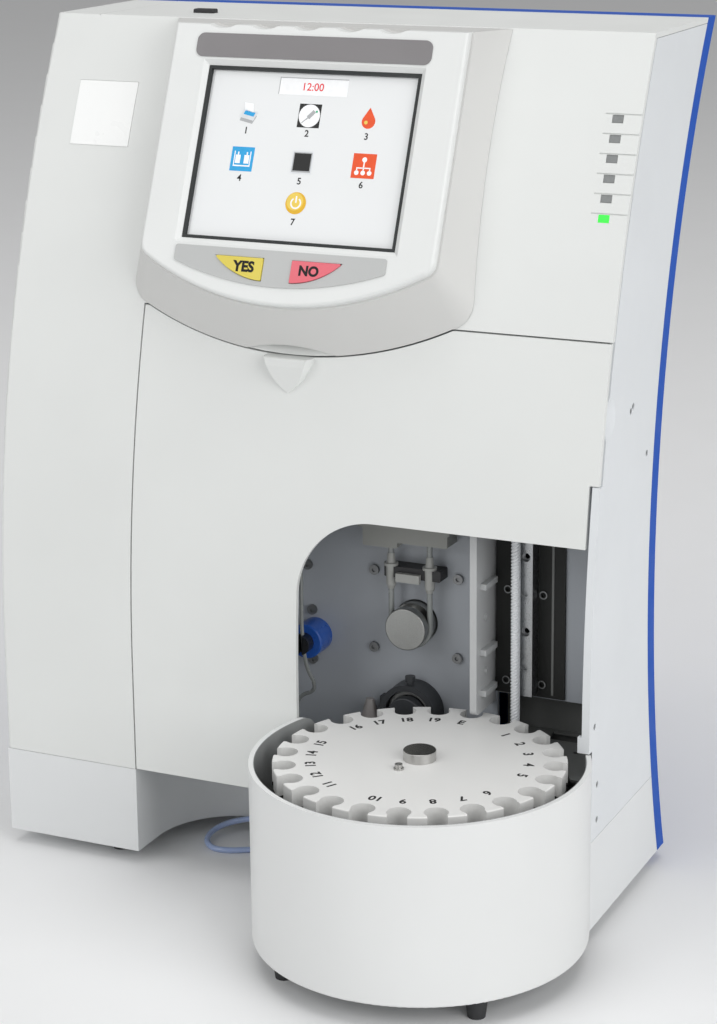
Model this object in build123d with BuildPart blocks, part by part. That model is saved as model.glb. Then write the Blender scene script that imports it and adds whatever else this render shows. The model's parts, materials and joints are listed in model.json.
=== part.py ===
"""Bench electrolyte analyzer: a leaning cabinet with a touch screen, a hinged front door and a
round sampler drum with a notched sample disc. Millimetres, +Z up, +Y to the rear.
Each piece is drawn from the middle of the cabinet's width and the plinth's front face, and is then
moved so that the origin lies on the bench below the middle of the object's overall box."""
import math
import os

from build123d import *

os.makedirs("parts", exist_ok=True)

# Cabinet
width = 384.0
height = 510.0
half_width = width / 2
wall = 3.0
plinth_bottom = 9.0
plinth_top = 63.0
front_straight_top = 130.0
front_sag = 94.404
front_radius = ((height - front_straight_top) ** 2 + front_sag ** 2) / (2 * front_sag)
rear_waist_y = 99.5
rear_waist_z = 190.0
rear_radius = 600.0
seam = 1.0
thin_seam = 0.3
edge_round = 2.5

# Front door, which drops forward on a hinge along its foot
door_thickness = 3.0
door_flange_gap = 1.9
door_left = -99.9
door_right = half_width - 0.7
door_bottom = plinth_top + 0.6
door_top = height - 163.0
column_edge = door_left - 1.3
cutout_left = 10.0
cutout_top = height - 274.6
cutout_corner = 47.0
flange_top = height - 240.0
flange_width = 4.5
bead_radius = 5.0
hinge_y = bead_radius
hinge_z = door_bottom + bead_radius
hinge_pin_radius = 0.8
hinge_eye_radius = 1.75
hinge_slots = (-85.5, -10.0)
hinge_arm = 5.0
hinge_gap = 0.5
hinge_pin_length = 18.0
tab_x = -1.5
tab_half = 15.2
tab_low = door_top - 42.5
tab_reach = 8.5
tab_draft = 27.0
tab_notch = 7.5
tab_notch_radius = 90.0
running_clearance = 0.05

cover_depth = 24.0
foot_radius = 5.0
foot_top_radius = 6.8
front_foot_y = 20.0

# Screen housing, in a frame that leans back with the cabinet
lean = 22.77
bezel_foot_z = door_top + 12.5
bezel_stand = 32.3074
bezel_foot_y = (front_radius - bezel_stand
                - math.sqrt(front_radius ** 2 - (bezel_foot_z - front_straight_top) ** 2))
bezel_half = 92.7
bezel_arc = 174.0
bezel_height = 161.5
bezel_plate = 5.0
bezel_base_half = 112.2
bezel_base_low = -24.0
bezel_base_arc = 258.0
bezel_base_depth = 36.0
bezel_wall = 4.5
bezel_top = height - 0.4
scallop_first = -62.0
scallop_pitch = 27.0
scallop_count = 5
scallop_width = 17.0
scallop_back = 74.0
skirt_arc = 229.0
skirt_low = door_top - 21.7
skirt_half = 97.0
screen_half = 65.5
screen_low = 38.0
screen_high = 137.0
panel_x = -1.8
membrane_thickness = 0.8
key_near = 9.1
key_wide = 31.0
key_high = 26.4
key_tall = 13.0
key_gap = 0.3
key_depth = 1.2
key_proud = 0.7
key_travel = 0.6

# Foot recess, status lights and name plate
recess_left = -100.5
recess_back = 77.0
recess_round = 50.0
led_x = half_width - 13.8
led_first = height - 97.7
led_pitch = 10.45
led_count = 6
led_width = 6.6
led_height = 4.3
plate_left = 26.0 - half_width
plate_right = plate_left + 40.2
plate_low = height - 74.6
plate_high = plate_low + 37.0

led_board_inset = 7.2
main_board_depth = 44.0
main_board_half = 92.0
main_board_screws = [(-87.0, 20.0), (87.0, 20.0), (-87.0, 128.0), (87.0, 128.0)]
catch_x = -105.3
catch_y = front_radius - math.sqrt(front_radius ** 2 - (height - front_straight_top) ** 2) + 29.6
catch_width = 13.6

# Sampler drum and sample disc
drum_x = 106.9
drum_y = -41.8
drum_radius = 95.7
drum_wall = 3.0
drum_bottom = 14.0
drum_rim = 118.0
drum_clearance = 1.3
drum_start = 155.0
drum_end = 386.5
rim_round = 10.0
foot_circle = 82.0
disc_radius = 82.5
disc_top = 118.0
disc_thickness = 14.0
notch_count = 24
tube_pocket = 13.4
pocket_circle = 76.0
notch_mouth = 11.0
tube_rest_top = 44.0
tube_rest_thickness = 4.0
column_radius = 12.0
spigot_radius = 8.0
shaft_radius = 3.0
hub_radius = 9.3
hub_height = 5.8
disc_motor_radius = 20.0

# Drain hose between an elbow in the foot recess and a barb on the drum
cord_radius = 1.8
elbow_x = -12.0
elbow_z = 20.0
elbow_out = 9.0
barb_angle = 140.0
barb_z = 24.0
barb_radius = 2.6

# Sampling bay behind the cut-out
plate_y = 58.0
plate_thickness = 2.5
bay_top = door_top - 2.0
divider_x = 108.4
divider_thickness = 4.2
divider_front = 28.0
divider_low = 119.5
rail_plate_right = 156.3
rail_left = 131.5
rail_width = 8.3
rail_depth = 10.0
rail_low = 129.0
rail_high = bay_top - 45.0
rail_hole_first = 17.0
rail_hole_pitch = 22.6
screw_x = 131.2
screw_y = 42.0
screw_radius = 2.8
carriage_low = rail_high - 30.0
carriage_height = 24.0
carriage_width = 24.0
probe_radius = 0.8
probe_tip = carriage_low - 32.0

# Pumps and fluid parts
pump_1_x = 62.0
pump_1_z = 162.0
pump_2_x = 61.5
pump_2_z = 107.5
pump_cap_radius = 12.8
pump_cap_front = 40.0
pump_tube_radius = 1.7
pump_loop_radius = 12.4
pump_tube_y = 49.0
pump_hole_radius = 13.6
pump_2_radius = 18.0
pump_motor_radius = 18.0
sample_tube_radius = 1.2
sample_tube_y = 38.0
pump_motor_length = 24.0
pump_shaft_radius = 1.5
valve_block_low = 214.0

floor_top = plinth_top + 2.0
# From the drawing's corner to the middle of the overall box
overall_right = drum_x + drum_radius
overall_front = drum_y - drum_radius
overall_rear = 214.01
to_origin = Location((-(overall_right - half_width) / 2, -(overall_front + overall_rear) / 2, 0))

led_levels = [led_first + led_pitch * step for step in range(led_count)]
plate_back = plate_y + plate_thickness
carriage_front = 36.5
needle_angle = 75.0
needle_x = drum_x + pocket_circle * math.cos(math.radians(needle_angle))
needle_y = drum_y + pocket_circle * math.sin(math.radians(needle_angle))
lean_sin = math.sin(math.radians(lean))
lean_cos = math.cos(math.radians(lean))


def front_y(z, inset=0.0):
    """Depth of the cabinet's front surface at a height, or of a surface inset behind it."""
    rise = max(z - front_straight_top, 0.0)
    return front_radius - math.sqrt((front_radius - inset) ** 2 - rise ** 2)


def rear_y(z, inset=0.0):
    """Depth of the rear edge of the side panels at a height; a negative inset lies behind it."""
    return rear_waist_y + rear_radius - math.sqrt((rear_radius + inset) ** 2 - (z - rear_waist_z) ** 2)


def front_curve(low, high, inset):
    """Front edge of a side view, drawn upwards."""
    bend = max(low, front_straight_top)
    if low < front_straight_top:
        Line((inset, low), (inset, min(front_straight_top, high)))
    if high > bend:
        middle = (bend + high) / 2
        ThreePointArc((front_y(bend, inset), bend), (front_y(middle, inset), middle),
                      (front_y(high, inset), high))


def side_outline(low, high, front_inset=0.0, rear_inset=0.0):
    """The cabinet's leaning side view between two heights, as a face."""
    with BuildLine() as outline:
        front_curve(low, high, front_inset)
        Line((front_y(high, front_inset), high), (rear_y(high, rear_inset), high))
        middle = (low + high) / 2
        ThreePointArc((rear_y(high, rear_inset), high), (rear_y(middle, rear_inset), middle),
                      (rear_y(low, rear_inset), low))
        Line((rear_y(low, rear_inset), low), (front_y(low, front_inset), low))
    make_face(outline.edges())


def front_strip(low, high, outer, inner):
    """A strip of the front skin between two heights and two insets, as a face."""
    with BuildLine() as outline:
        front_curve(low, high, outer)
        Line((front_y(high, outer), high), (front_y(high, inner), high))
        front_curve(low, high, inner)
        Line((front_y(low, inner), low), (front_y(low, outer), low))
    make_face(outline.edges())


def rear_strip(low, high, near, far):
    """A strip behind the rear edge between two heights and two distances behind it."""
    middle = (low + high) / 2
    with BuildLine() as outline:
        ThreePointArc((rear_y(low, -near), low), (rear_y(middle, -near), middle),
                      (rear_y(high, -near), high))
        Line((rear_y(high, -near), high), (rear_y(high, -far), high))
        ThreePointArc((rear_y(high, -far), high), (rear_y(middle, -far), middle),
                      (rear_y(low, -far), low))
        Line((rear_y(low, -far), low), (rear_y(low, -near), low))
    make_face(outline.edges())


def cut_box(x0, x1, y0, y1, z0, z1, mode=Mode.SUBTRACT):
    """A box between two corners."""
    with Locations(((x0 + x1) / 2, (y0 + y1) / 2, (z0 + z1) / 2)):
        Box(x1 - x0, y1 - y0, z1 - z0, mode=mode)


def block(x0, x1, y0, y1, z0, z1):
    """A solid box between two corners."""
    cut_box(x0, x1, y0, y1, z0, z1, mode=Mode.ADD)


def trim_above(level):
    """Removes whatever stands above a level."""
    cut_box(-width, width, -height, height, level, level + height)


def rod(x, z, y0, y1, radius, mode=Mode.ADD):
    """A cylinder along Y."""
    with Locations((x, (y0 + y1) / 2, z)):
        Cylinder(radius, y1 - y0, rotation=(90, 0, 0), mode=mode)


def post(x, y, z0, z1, radius, mode=Mode.ADD):
    """A cylinder along Z."""
    with Locations((x, y, (z0 + z1) / 2)):
        Cylinder(radius, z1 - z0, mode=mode)


def bezel_plane(depth=0.0):
    """Plane of the screen housing's face, or a plane parallel to it behind."""
    face = Plane((0, bezel_foot_y, bezel_foot_z), x_dir=(1, 0, 0), z_dir=(0, -lean_cos, lean_sin))
    return face.offset(-depth)


def shield(half, low, radius, top, corner):
    """Outline with straight sides, a square top and a bowed foot."""
    side_low = low + radius - math.sqrt(radius ** 2 - half ** 2)
    with BuildLine() as outline:
        ThreePointArc((-half, side_low), (0, low), (half, side_low))
        Line((half, side_low), (half, top))
        Line((half, top), (-half, top))
        Line((-half, top), (-half, side_low))
    face = make_face(outline.edges())
    fillet([v for v in face.vertices() if v.Y < side_low + 1], corner)


def housing_loft(inset):
    """The flared body of the screen housing, or the space inside it."""
    top = bezel_height + 40
    with BuildPart() as flare:
        with BuildSketch(bezel_plane(bezel_plate - (0.5 if inset else 0))):
            shield(bezel_half + 1.5 - inset, inset - 1.5, bezel_arc + 1.5 - inset, top, 10 - inset / 2)
        with BuildSketch(bezel_plane(bezel_base_depth + (0.5 if inset else 0))):
            shield(bezel_base_half - inset, bezel_base_low + inset, bezel_base_arc - inset, top,
                   17 - inset / 2)
        loft(ruled=True)
    return flare.part


def cabinet_block(front_inset=0.0):
    """The solid space behind the cabinet's front surface."""
    with BuildPart() as space:
        with BuildSketch(Plane.YZ.offset(-half_width - 10)):
            side_outline(plinth_bottom - 5, height + 20, front_inset, -30)
        extrude(amount=width + 20)
    return space.part


def board_bosses():
    """Bosses on the back of the front skin that carry the main board and the status board."""
    with BuildPart() as bosses:
        with BuildSketch(bezel_plane(main_board_depth)):
            with Locations(*main_board_screws):
                Circle(3.5)
        extrude(amount=main_board_depth)
        with BuildSketch(led_board_plane()):
            with Locations((-8, 31), (-8, -31)):
                Circle(2.5)
        extrude(amount=12)
        add(cabinet_block(wall - 0.5), mode=Mode.INTERSECT)
    return bosses.part


def led_board_plane():
    """Front face of the board behind the status lights."""
    level = led_first + led_pitch * (led_count - 1) / 2
    tilt = math.asin((level - front_straight_top) / front_radius)
    reach = front_radius - led_board_inset
    at = (led_x, front_radius - reach * math.cos(tilt), front_straight_top + reach * math.sin(tilt))
    return Plane(at, x_dir=(1, 0, 0), z_dir=(0, -math.cos(tilt), math.sin(tilt)))


def door_outline(gap):
    """Outline of the door seen from the front, or of its opening with a gap all round."""
    top = door_top + gap
    lower_z = door_bottom - gap
    centre = skirt_low + skirt_arc
    side = math.sqrt(skirt_arc ** 2 - (centre - door_top) ** 2)
    step_z = flange_top + 0.6 - gap
    with BuildLine() as outline:
        Line((door_left - gap, lower_z), (door_left - gap, top))
        Line((door_left - gap, top), (-side, top))
        ThreePointArc((-side, top), (0, skirt_low + gap), (side, top))
        if gap:
            Polyline((side, top), (half_width + 1, top), (half_width + 1, lower_z),
                     (door_left - gap, lower_z))
        else:
            arc_x = cutout_left + cutout_corner
            arc_z = cutout_top - cutout_corner
            slant = cutout_corner * math.sqrt(0.5)
            Polyline((side, top), (door_right, top), (door_right, step_z),
                     (half_width - flange_width - door_flange_gap, step_z),
                     (half_width - flange_width - door_flange_gap, cutout_top), (arc_x, cutout_top))
            ThreePointArc((arc_x, cutout_top), (arc_x - slant, arc_z + slant), (cutout_left, arc_z))
            Polyline((cutout_left, arc_z), (cutout_left, lower_z), (door_left, lower_z))
    make_face(outline.edges())


def key_outline(side, gap, mode=Mode.ADD):
    """Fan-shaped outline of a key on the housing's face, left (-1) or right (1) of the middle."""
    near = panel_x + side * (key_near - gap)
    far = panel_x + side * (key_near + key_wide + gap)
    top = key_high + gap
    low = key_high - key_tall - gap
    with BuildLine() as outline:
        Polyline((near, low), (near, top), (far, top))
        ThreePointArc((far, top), (panel_x + side * (key_near + key_wide * 0.56 + gap * 0.7),
                                   key_high - key_tall * 0.7 - gap * 0.7), (near, low))
    make_face(outline.edges(), mode=mode)


def top_scallops():
    """Shallow scallops along the top edge of the screen housing."""
    drop = 2.0
    radius = (scallop_width ** 2 / 4 + drop ** 2) / (2 * drop)
    for step in range(scallop_count):
        rod(scallop_first + scallop_pitch * step, bezel_top - drop + radius, 50, scallop_back, radius,
            mode=Mode.SUBTRACT)


def pull_tab():
    """Tongue on the door that stands proud at its top and runs out into the skin below."""
    low_y = front_y(tab_low - 1)
    high_y = front_y(skirt_low)
    top = skirt_low + 0.4
    with BuildPart() as tab:
        with BuildSketch(Plane.YZ.offset(tab_x - tab_half)):
            with BuildLine():
                Polyline((low_y + 2, tab_low - 1), (low_y, tab_low - 1), (high_y - tab_reach, top - 5),
                         (high_y - tab_reach, top), (high_y + 2, top), close=True)
            make_face()
        extrude(amount=2 * tab_half)
        fillet(tab.edges().filter_by(Axis.X).sort_by(Axis.Y)[:2], 1.6)
        with BuildPart(mode=Mode.INTERSECT):
            with BuildSketch(Plane.XZ.offset(-low_y)) as front:
                with BuildLine():
                    Polyline((tab_x - tab_half, top), (tab_x - tab_half, top + 15),
                             (tab_x + tab_half, top + 15), (tab_x + tab_half, top))
                    ThreePointArc((tab_x + tab_half, top), (tab_x + 0.68 * tab_half, tab_low + 9.6),
                                  (tab_x, tab_low))
                    ThreePointArc((tab_x, tab_low), (tab_x - 0.68 * tab_half, tab_low + 9.6),
                                  (tab_x - tab_half, top))
                make_face()
            extrude(amount=tab_reach + 2, taper=tab_draft)
            extrude(front.sketch, amount=-12)
    return tab.part


def rear_pan(inset):
    """The rear cover's outer form, or the space inside it."""
    chamfer_size = 12.0 - 0.6 * inset
    near = 0.0 if inset == 0 else -5.0
    with BuildPart() as pan:
        with BuildSketch(Plane.YZ.offset(-half_width + inset)):
            rear_strip(plinth_bottom + inset, height - inset, near, 24.0 - inset)
        extrude(amount=width - 2 * inset)
        far_face = pan.faces().filter_by(GeomType.CYLINDER).sort_by(Axis.Y)[-1]
        chamfer(far_face.edges(), chamfer_size)
    return pan.part


def footprint_block(inset, low, high, recess_deep):
    """A slab of the cabinet's footprint around the drum, with the recess at its foot or without."""
    with BuildPart() as base:
        with BuildSketch(Plane.XY.offset(low)):
            with Locations((0, 100)):
                Rectangle(width, 200)
            with BuildSketch(mode=Mode.PRIVATE) as recess:
                with Locations((drum_x, drum_y)):
                    Circle(drum_radius + drum_clearance)
                if recess_deep:
                    with BuildLine():
                        Polyline((recess_left, -20), (recess_left, recess_back),
                                 (drum_x + 55, recess_back), (drum_x + 55, -20), close=True)
                    make_face()
                    corner = recess.vertices().group_by(Axis.X)[0].sort_by(Axis.Y)[-1]
                    fillet(corner, recess_round)
            add(recess.sketch, mode=Mode.SUBTRACT)
            if inset:
                offset(amount=-inset)
        extrude(amount=high - low)
        with BuildSketch(Plane.YZ.offset(-half_width)):
            side_outline(plinth_bottom - 1, plinth_top + 10, inset, inset)
        extrude(amount=width, mode=Mode.INTERSECT)
    return base.part


with BuildPart() as main_shell:
    with BuildSketch(Plane.YZ.offset(-half_width)):
        side_outline(plinth_top + thin_seam, height)
    extrude(amount=width)
    fillet(main_shell.faces().sort_by(Axis.X)[0].edges().sort_by(Axis.Y)[:-2], edge_round)
    with BuildSketch(Plane.YZ.offset(-half_width + wall)):
        side_outline(plinth_top - 5, height - wall, wall, -40)
    extrude(amount=width, mode=Mode.SUBTRACT)
    # Opening for the door, and the window behind the screen housing
    with BuildSketch(Plane.XZ.offset(10)):
        door_outline(seam)
    extrude(amount=-80, mode=Mode.SUBTRACT)
    cut_box(-80, 80, 0, 120, bezel_foot_z + 12.5, height - 15)
    # Return flange above the door, and bosses for the boards
    with BuildSketch(Plane.YZ.offset(skirt_half + 4)):
        front_strip(door_top + seam, door_top + seam + wall, wall - 0.5, 14)
    extrude(amount=half_width - 8 - skirt_half)
    add(board_bosses(), mode=Mode.ADD)
    # Shallow seat of the name plate
    with BuildSketch(Plane.YZ.offset(plate_left)):
        front_strip(plate_low, plate_high, -1, 0.6)
    extrude(amount=plate_right - plate_left, mode=Mode.SUBTRACT)
    # Status windows with a fine line above each
    for level in led_levels:
        with BuildSketch(Plane.YZ.offset(led_x - led_width / 2)):
            front_strip(level - led_height / 2, level + led_height / 2, -1, wall + 1)
        extrude(amount=led_width, mode=Mode.SUBTRACT)
        with BuildSketch(Plane.YZ.offset(led_x - 7.5)):
            front_strip(level + led_height / 2 + 0.1, level + led_height / 2 + 0.8, -1, 0.7)
        extrude(amount=30, mode=Mode.SUBTRACT)
    # Slot and fine seam in the top
    cut_box(catch_x - catch_width / 2 - 0.3, catch_x + catch_width / 2 + 0.3, catch_y - 3.3,
            catch_y + 3.3, height - wall - 1, height + 1)
    cut_box(plate_left + 3.6, plate_left + 4.4, catch_y - 31, 200, height - 0.6, height + 1)
main_shell.part.label = "main_shell"
export_step(main_shell.part.moved(to_origin), "parts/main_shell.step")

side_screw_points = [(62.5, 302), (66.5, 304), (92.4, 270.4), (8.8, 132), (14.5, 95.4), (14.5, 74)]
side_screw_radius = 1.7
with BuildPart() as right_side_panel:
    with BuildSketch(Plane.YZ.offset(half_width - wall)):
        side_outline(plinth_top + thin_seam, height - wall - thin_seam)
    extrude(amount=wall)
    with BuildSketch(Plane.YZ.offset(half_width - wall - 1)):
        front_strip(flange_top, height, -5, door_thickness + seam)
    extrude(amount=wall + 2, mode=Mode.SUBTRACT)
    with BuildSketch(Plane.YZ.offset(half_width - flange_width)):
        front_strip(drum_rim + 0.6, flange_top, 0, wall)
    extrude(amount=flange_width - wall)
    with BuildSketch(Plane.YZ.offset(half_width - 7)):
        front_strip(drum_rim + 0.6, drum_rim + 10, 0, wall)
    extrude(amount=7 - wall)
    post(drum_x, drum_y, plinth_top - 1, drum_rim + 0.6, drum_radius + drum_clearance, Mode.SUBTRACT)
    # Finger scoop beside the door, and recesses for the screws
    with Locations((half_width + 38, front_y(door_top - 41) + 4, door_top - 41)):
        Sphere(40, mode=Mode.SUBTRACT)
    for y, z in side_screw_points:
        with BuildSketch(Plane.YZ.offset(half_width + 0.1)):
            with Locations((y, z)):
                Circle(side_screw_radius + 0.2)
        extrude(amount=-(wall + 0.2), mode=Mode.SUBTRACT)
right_side_panel.part.label = "right_side_panel"
export_step(right_side_panel.part.moved(to_origin), "parts/right_side_panel.step")

with BuildPart() as side_screws:
    for y, z in side_screw_points:
        with BuildSketch(Plane.YZ.offset(half_width - wall - 2)):
            with Locations((y, z)):
                Circle(side_screw_radius)
        extrude(amount=wall + 1.4)
        cut_box(half_width - 1.1, half_width, y - 0.3, y + 0.3, z - 1.3, z + 1.3)
side_screws.part.label = "side_screws"
export_step(side_screws.part.moved(to_origin), "parts/side_screws.step")

floor_y0 = 14.0
boss_far = half_width - 10
boss_points = [(-boss_far, 12), (door_left - 10.1, 12), (-boss_far, 104), (-60, 100), (60, 100),
               (boss_far, 100)]
with BuildPart() as plinth_base:
    add(footprint_block(0, plinth_bottom, plinth_top, True))
    add(footprint_block(wall, plinth_bottom + wall, plinth_top + 1, True), mode=Mode.SUBTRACT)
    for x, y in boss_points:
        post(x, y, plinth_bottom + wall - 0.5, plinth_top, 4)
    # Hose elbow on the back wall of the recess
    rod(elbow_x, elbow_z, recess_back - 2.5, recess_back + 1, 6)
    rod(elbow_x, elbow_z, recess_back - elbow_out - 3.2, recess_back, 3.2)
    with Locations((elbow_x - 2, recess_back - elbow_out, elbow_z)):
        Cylinder(barb_radius, 6, rotation=(0, 90, 0))
plinth_base.part.label = "plinth_base"
export_step(plinth_base.part.moved(to_origin), "parts/plinth_base.step")

with BuildPart() as chassis_floor:
    add(footprint_block(wall + 0.4, plinth_top, floor_top, False))
    # Clearance for the foot of the swinging door
    cut_box(column_edge, drum_x, -1, floor_y0, plinth_top - 1, floor_top + 1)
chassis_floor.part.label = "chassis_floor"
export_step(chassis_floor.part.moved(to_origin), "parts/chassis_floor.step")

with BuildPart() as front_door:
    with BuildSketch(Plane.YZ.offset(door_left - 1)):
        front_strip(door_bottom, door_top, 0, door_thickness)
    extrude(amount=door_right - door_left + 2)
    with BuildSketch(Plane.XZ.offset(10)):
        door_outline(0)
    extrude(amount=-80, mode=Mode.INTERSECT)
    # Round bead along the foot, with slots for the hinge arms and a bore for their pins
    with Locations(((door_left + cutout_left) / 2, hinge_y, hinge_z)):
        Cylinder(bead_radius, cutout_left - door_left, rotation=(0, 90, 0))
    for x in hinge_slots:
        cut_box(x - hinge_arm / 2 - hinge_gap, x + hinge_arm / 2 + hinge_gap, door_thickness,
                hinge_y + 8, door_bottom - 1, hinge_z + bead_radius + 1)
        with Locations((x, hinge_y, hinge_z)):
            Cylinder(hinge_pin_radius + running_clearance, hinge_pin_length + 0.6,
                     rotation=(0, 90, 0), mode=Mode.SUBTRACT)
    add(pull_tab())
front_door.part.label = "front_door"
export_step(front_door.part.moved(to_origin), "parts/front_door.step")

with BuildPart() as hinge_brackets:
    for x in hinge_slots:
        left = x - hinge_arm / 2
        block(left, left + hinge_arm, hinge_y, floor_y0 + 8, hinge_z - hinge_eye_radius,
              hinge_z + hinge_eye_radius)
        block(left, left + hinge_arm, floor_y0 + 2, floor_y0 + 8, floor_top, hinge_z + hinge_eye_radius)
        block(left - 5, left + hinge_arm + 5, floor_y0 + 2, floor_y0 + 14, floor_top, floor_top + 1.5)
        with Locations((x, hinge_y, hinge_z)):
            Cylinder(hinge_eye_radius, hinge_arm, rotation=(0, 90, 0))
            Cylinder(hinge_pin_radius, hinge_pin_length, rotation=(0, 90, 0))
hinge_brackets.part.label = "hinge_brackets"
export_step(hinge_brackets.part.moved(to_origin), "parts/hinge_brackets.step")

cover_gap = 0.3
inlet_x = 120.0
inlet_z = 96.0
inlet_width = 50.0
inlet_height = 27.0
inlet_flange = 2.5
rocker_x = 78.0
rocker_width = 12.6
rocker_height = 19.0
rocker_frame = 2.0
rocker_pivot_depth = 3.0
vent_count = 14
vent_pitch = 9.0
vent_width = 3.5
vent_height = 60.0


def rear_plane(x, z, out=0.0):
    """Plane on the rear cover's back at a point, facing away from the cabinet."""
    tilt = math.asin((rear_waist_z - z) / rear_radius)
    reach = rear_radius - cover_depth - out
    at = (x, rear_waist_y + rear_radius - reach * math.cos(tilt), rear_waist_z - reach * math.sin(tilt))
    return Plane(at, x_dir=(-1, 0, 0), z_dir=(0, math.cos(tilt), math.sin(tilt)))


with BuildPart() as rear_cover:
    add(rear_pan(0))
    add(rear_pan(wall), mode=Mode.SUBTRACT)
    with BuildSketch(Plane.YZ.offset(-half_width - 1)):
        rear_strip(plinth_bottom - 10, height + 10, -30, cover_gap)
    extrude(amount=width + 2, mode=Mode.SUBTRACT)
    # Openings for the inlet and the power switch
    with BuildSketch(rear_plane(inlet_x, inlet_z, 5)):
        Rectangle(inlet_width - 8, inlet_height - 4)
    extrude(amount=-20, mode=Mode.SUBTRACT)
    with BuildSketch(rear_plane(rocker_x, inlet_z, 5)):
        Rectangle(rocker_width + 2 * rocker_frame + 0.4, rocker_height + 2 * rocker_frame + 0.4)
    extrude(amount=-20, mode=Mode.SUBTRACT)
    # Vent slots high on the back
    with BuildSketch(Plane.XZ.offset(-60)):
        with GridLocations(vent_pitch, vent_height + 14, vent_count, 2):
            with Locations((0, height - 115)):
                SlotOverall(vent_height, vent_width, rotation=90)
    extrude(amount=-200, mode=Mode.SUBTRACT)
rear_cover.part.label = "rear_cover"
export_step(rear_cover.part.moved(to_origin), "parts/rear_cover.step")

with BuildPart() as body_feet:
    for x, y in [(door_left - 24.6, front_foot_y), (32 - half_width, 106), (half_width - 32, 106)]:
        with Locations((x, y, 0)):
            Cone(foot_radius, foot_top_radius, plinth_bottom, align=(Align.CENTER, Align.CENTER, Align.MIN))
body_feet.part.label = "body_feet"
export_step(body_feet.part.moved(to_origin), "parts/body_feet.step")

with BuildPart() as bezel_housing:
    add(housing_loft(0))
    with BuildPart(mode=Mode.PRIVATE) as hollow:
        add(housing_loft(bezel_wall))
        trim_above(bezel_top - wall)
    add(hollow.part, mode=Mode.SUBTRACT)
    # Shallow arch over the door's tab, for a finger
    rod(tab_x, skirt_low + tab_notch - tab_notch_radius, 0, 60, tab_notch_radius, Mode.SUBTRACT)
    trim_above(bezel_top)
    add(cabinet_block(-0.3), mode=Mode.SUBTRACT)
    with BuildSketch(Plane.XZ.offset(60)):
        door_outline(seam)
    extrude(amount=-140, mode=Mode.SUBTRACT)
    top_scallops()
bezel_housing.part.label = "bezel_housing"
export_step(bezel_housing.part.moved(to_origin), "parts/bezel_housing.step")

screen_middle = (screen_low + screen_high) / 2
screen_tall = screen_high - screen_low
module_ear = 80.0
module_boss = [(-module_ear + 4, 26), (module_ear - 4, 26), (-module_ear + 4, 149), (module_ear - 4, 149)]


def face_panel(half, low, high, middle=screen_middle):
    """A centred rectangle on the housing's face."""
    with Locations((0, middle)):
        Rectangle(2 * half, high - low)


with BuildPart() as bezel_face:
    with BuildSketch(bezel_plane(bezel_plate)):
        shield(bezel_half, 0, bezel_arc, bezel_height + 12, 9)
    extrude(amount=bezel_plate)
    front = bezel_face.faces().sort_by(Axis((0, 0, 0), (0, -lean_cos, lean_sin)))[-1]
    fillet(front.edges().sort_by(Axis.Z)[:-1], 2.2)
    trim_above(bezel_top)
    # Screen opening with a sloping surround
    with BuildSketch(bezel_plane(-0.05)):
        face_panel(screen_half + 5, screen_low - 5, screen_high + 5)
    with BuildSketch(bezel_plane(2.4)):
        face_panel(screen_half + 2, screen_low - 2, screen_high + 2)
    loft(ruled=True, mode=Mode.SUBTRACT)
    with BuildSketch(bezel_plane(-0.05)):
        face_panel(screen_half + 2, screen_low - 2, screen_high + 2)
    extrude(amount=-bezel_plate - 1, mode=Mode.SUBTRACT)
    # Pockets under the two keys
    for side in (-1, 1):
        with BuildSketch(bezel_plane(0)):
            key_outline(side, key_gap)
        extrude(amount=-key_depth - key_travel - 0.4, mode=Mode.SUBTRACT)
    # Bosses for the display
    with BuildSketch(bezel_plane(bezel_plate)):
        with Locations(*module_boss):
            Circle(3.5)
    extrude(amount=-2.3)
    top_scallops()
bezel_face.part.label = "bezel_face"
export_step(bezel_face.part.moved(to_origin), "parts/bezel_face.step")

with BuildPart() as screen_frame:
    with BuildSketch(bezel_plane(2.5)):
        face_panel(screen_half + 1.8, screen_low - 1.8, screen_high + 1.8)
        with Locations((0, screen_middle)):
            Rectangle(2 * screen_half, screen_tall, mode=Mode.SUBTRACT)
    extrude(amount=-2.5)
screen_frame.part.label = "screen_frame"
export_step(screen_frame.part.moved(to_origin), "parts/screen_frame.step")

with BuildPart() as touch_screen:
    with BuildSketch(bezel_plane(bezel_plate)):
        face_panel(screen_half + 4, screen_low - 4, screen_high + 4)
    extrude(amount=-1.8)
touch_screen.part.label = "touch_screen"
export_step(touch_screen.part.moved(to_origin), "parts/touch_screen.step")

with BuildPart() as display_module:
    with BuildSketch(bezel_plane(bezel_plate + 2.3)):
        with Locations((0, (26 + 149) / 2)):
            RectangleRounded(2 * module_ear, 149 - 26 + 8, 3)
        with Locations(*module_boss):
            Circle(1.4, mode=Mode.SUBTRACT)
    extrude(amount=-1.5)
    with BuildSketch(bezel_plane(bezel_plate + 3.8)):
        face_panel(screen_half + 8, screen_low - 8, screen_high + 8)
    extrude(amount=-8.5)
display_module.part.label = "display_module"
export_step(display_module.part.moved(to_origin), "parts/display_module.step")

with BuildPart() as title_strip:
    with BuildSketch(bezel_plane(0)):
        with Locations((panel_x, 150.4)):
            RectangleRounded(149, 14.2, 4.5)
    extrude(amount=0.6)
title_strip.part.label = "title_strip"
export_step(title_strip.part.moved(to_origin), "parts/title_strip.step")

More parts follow.
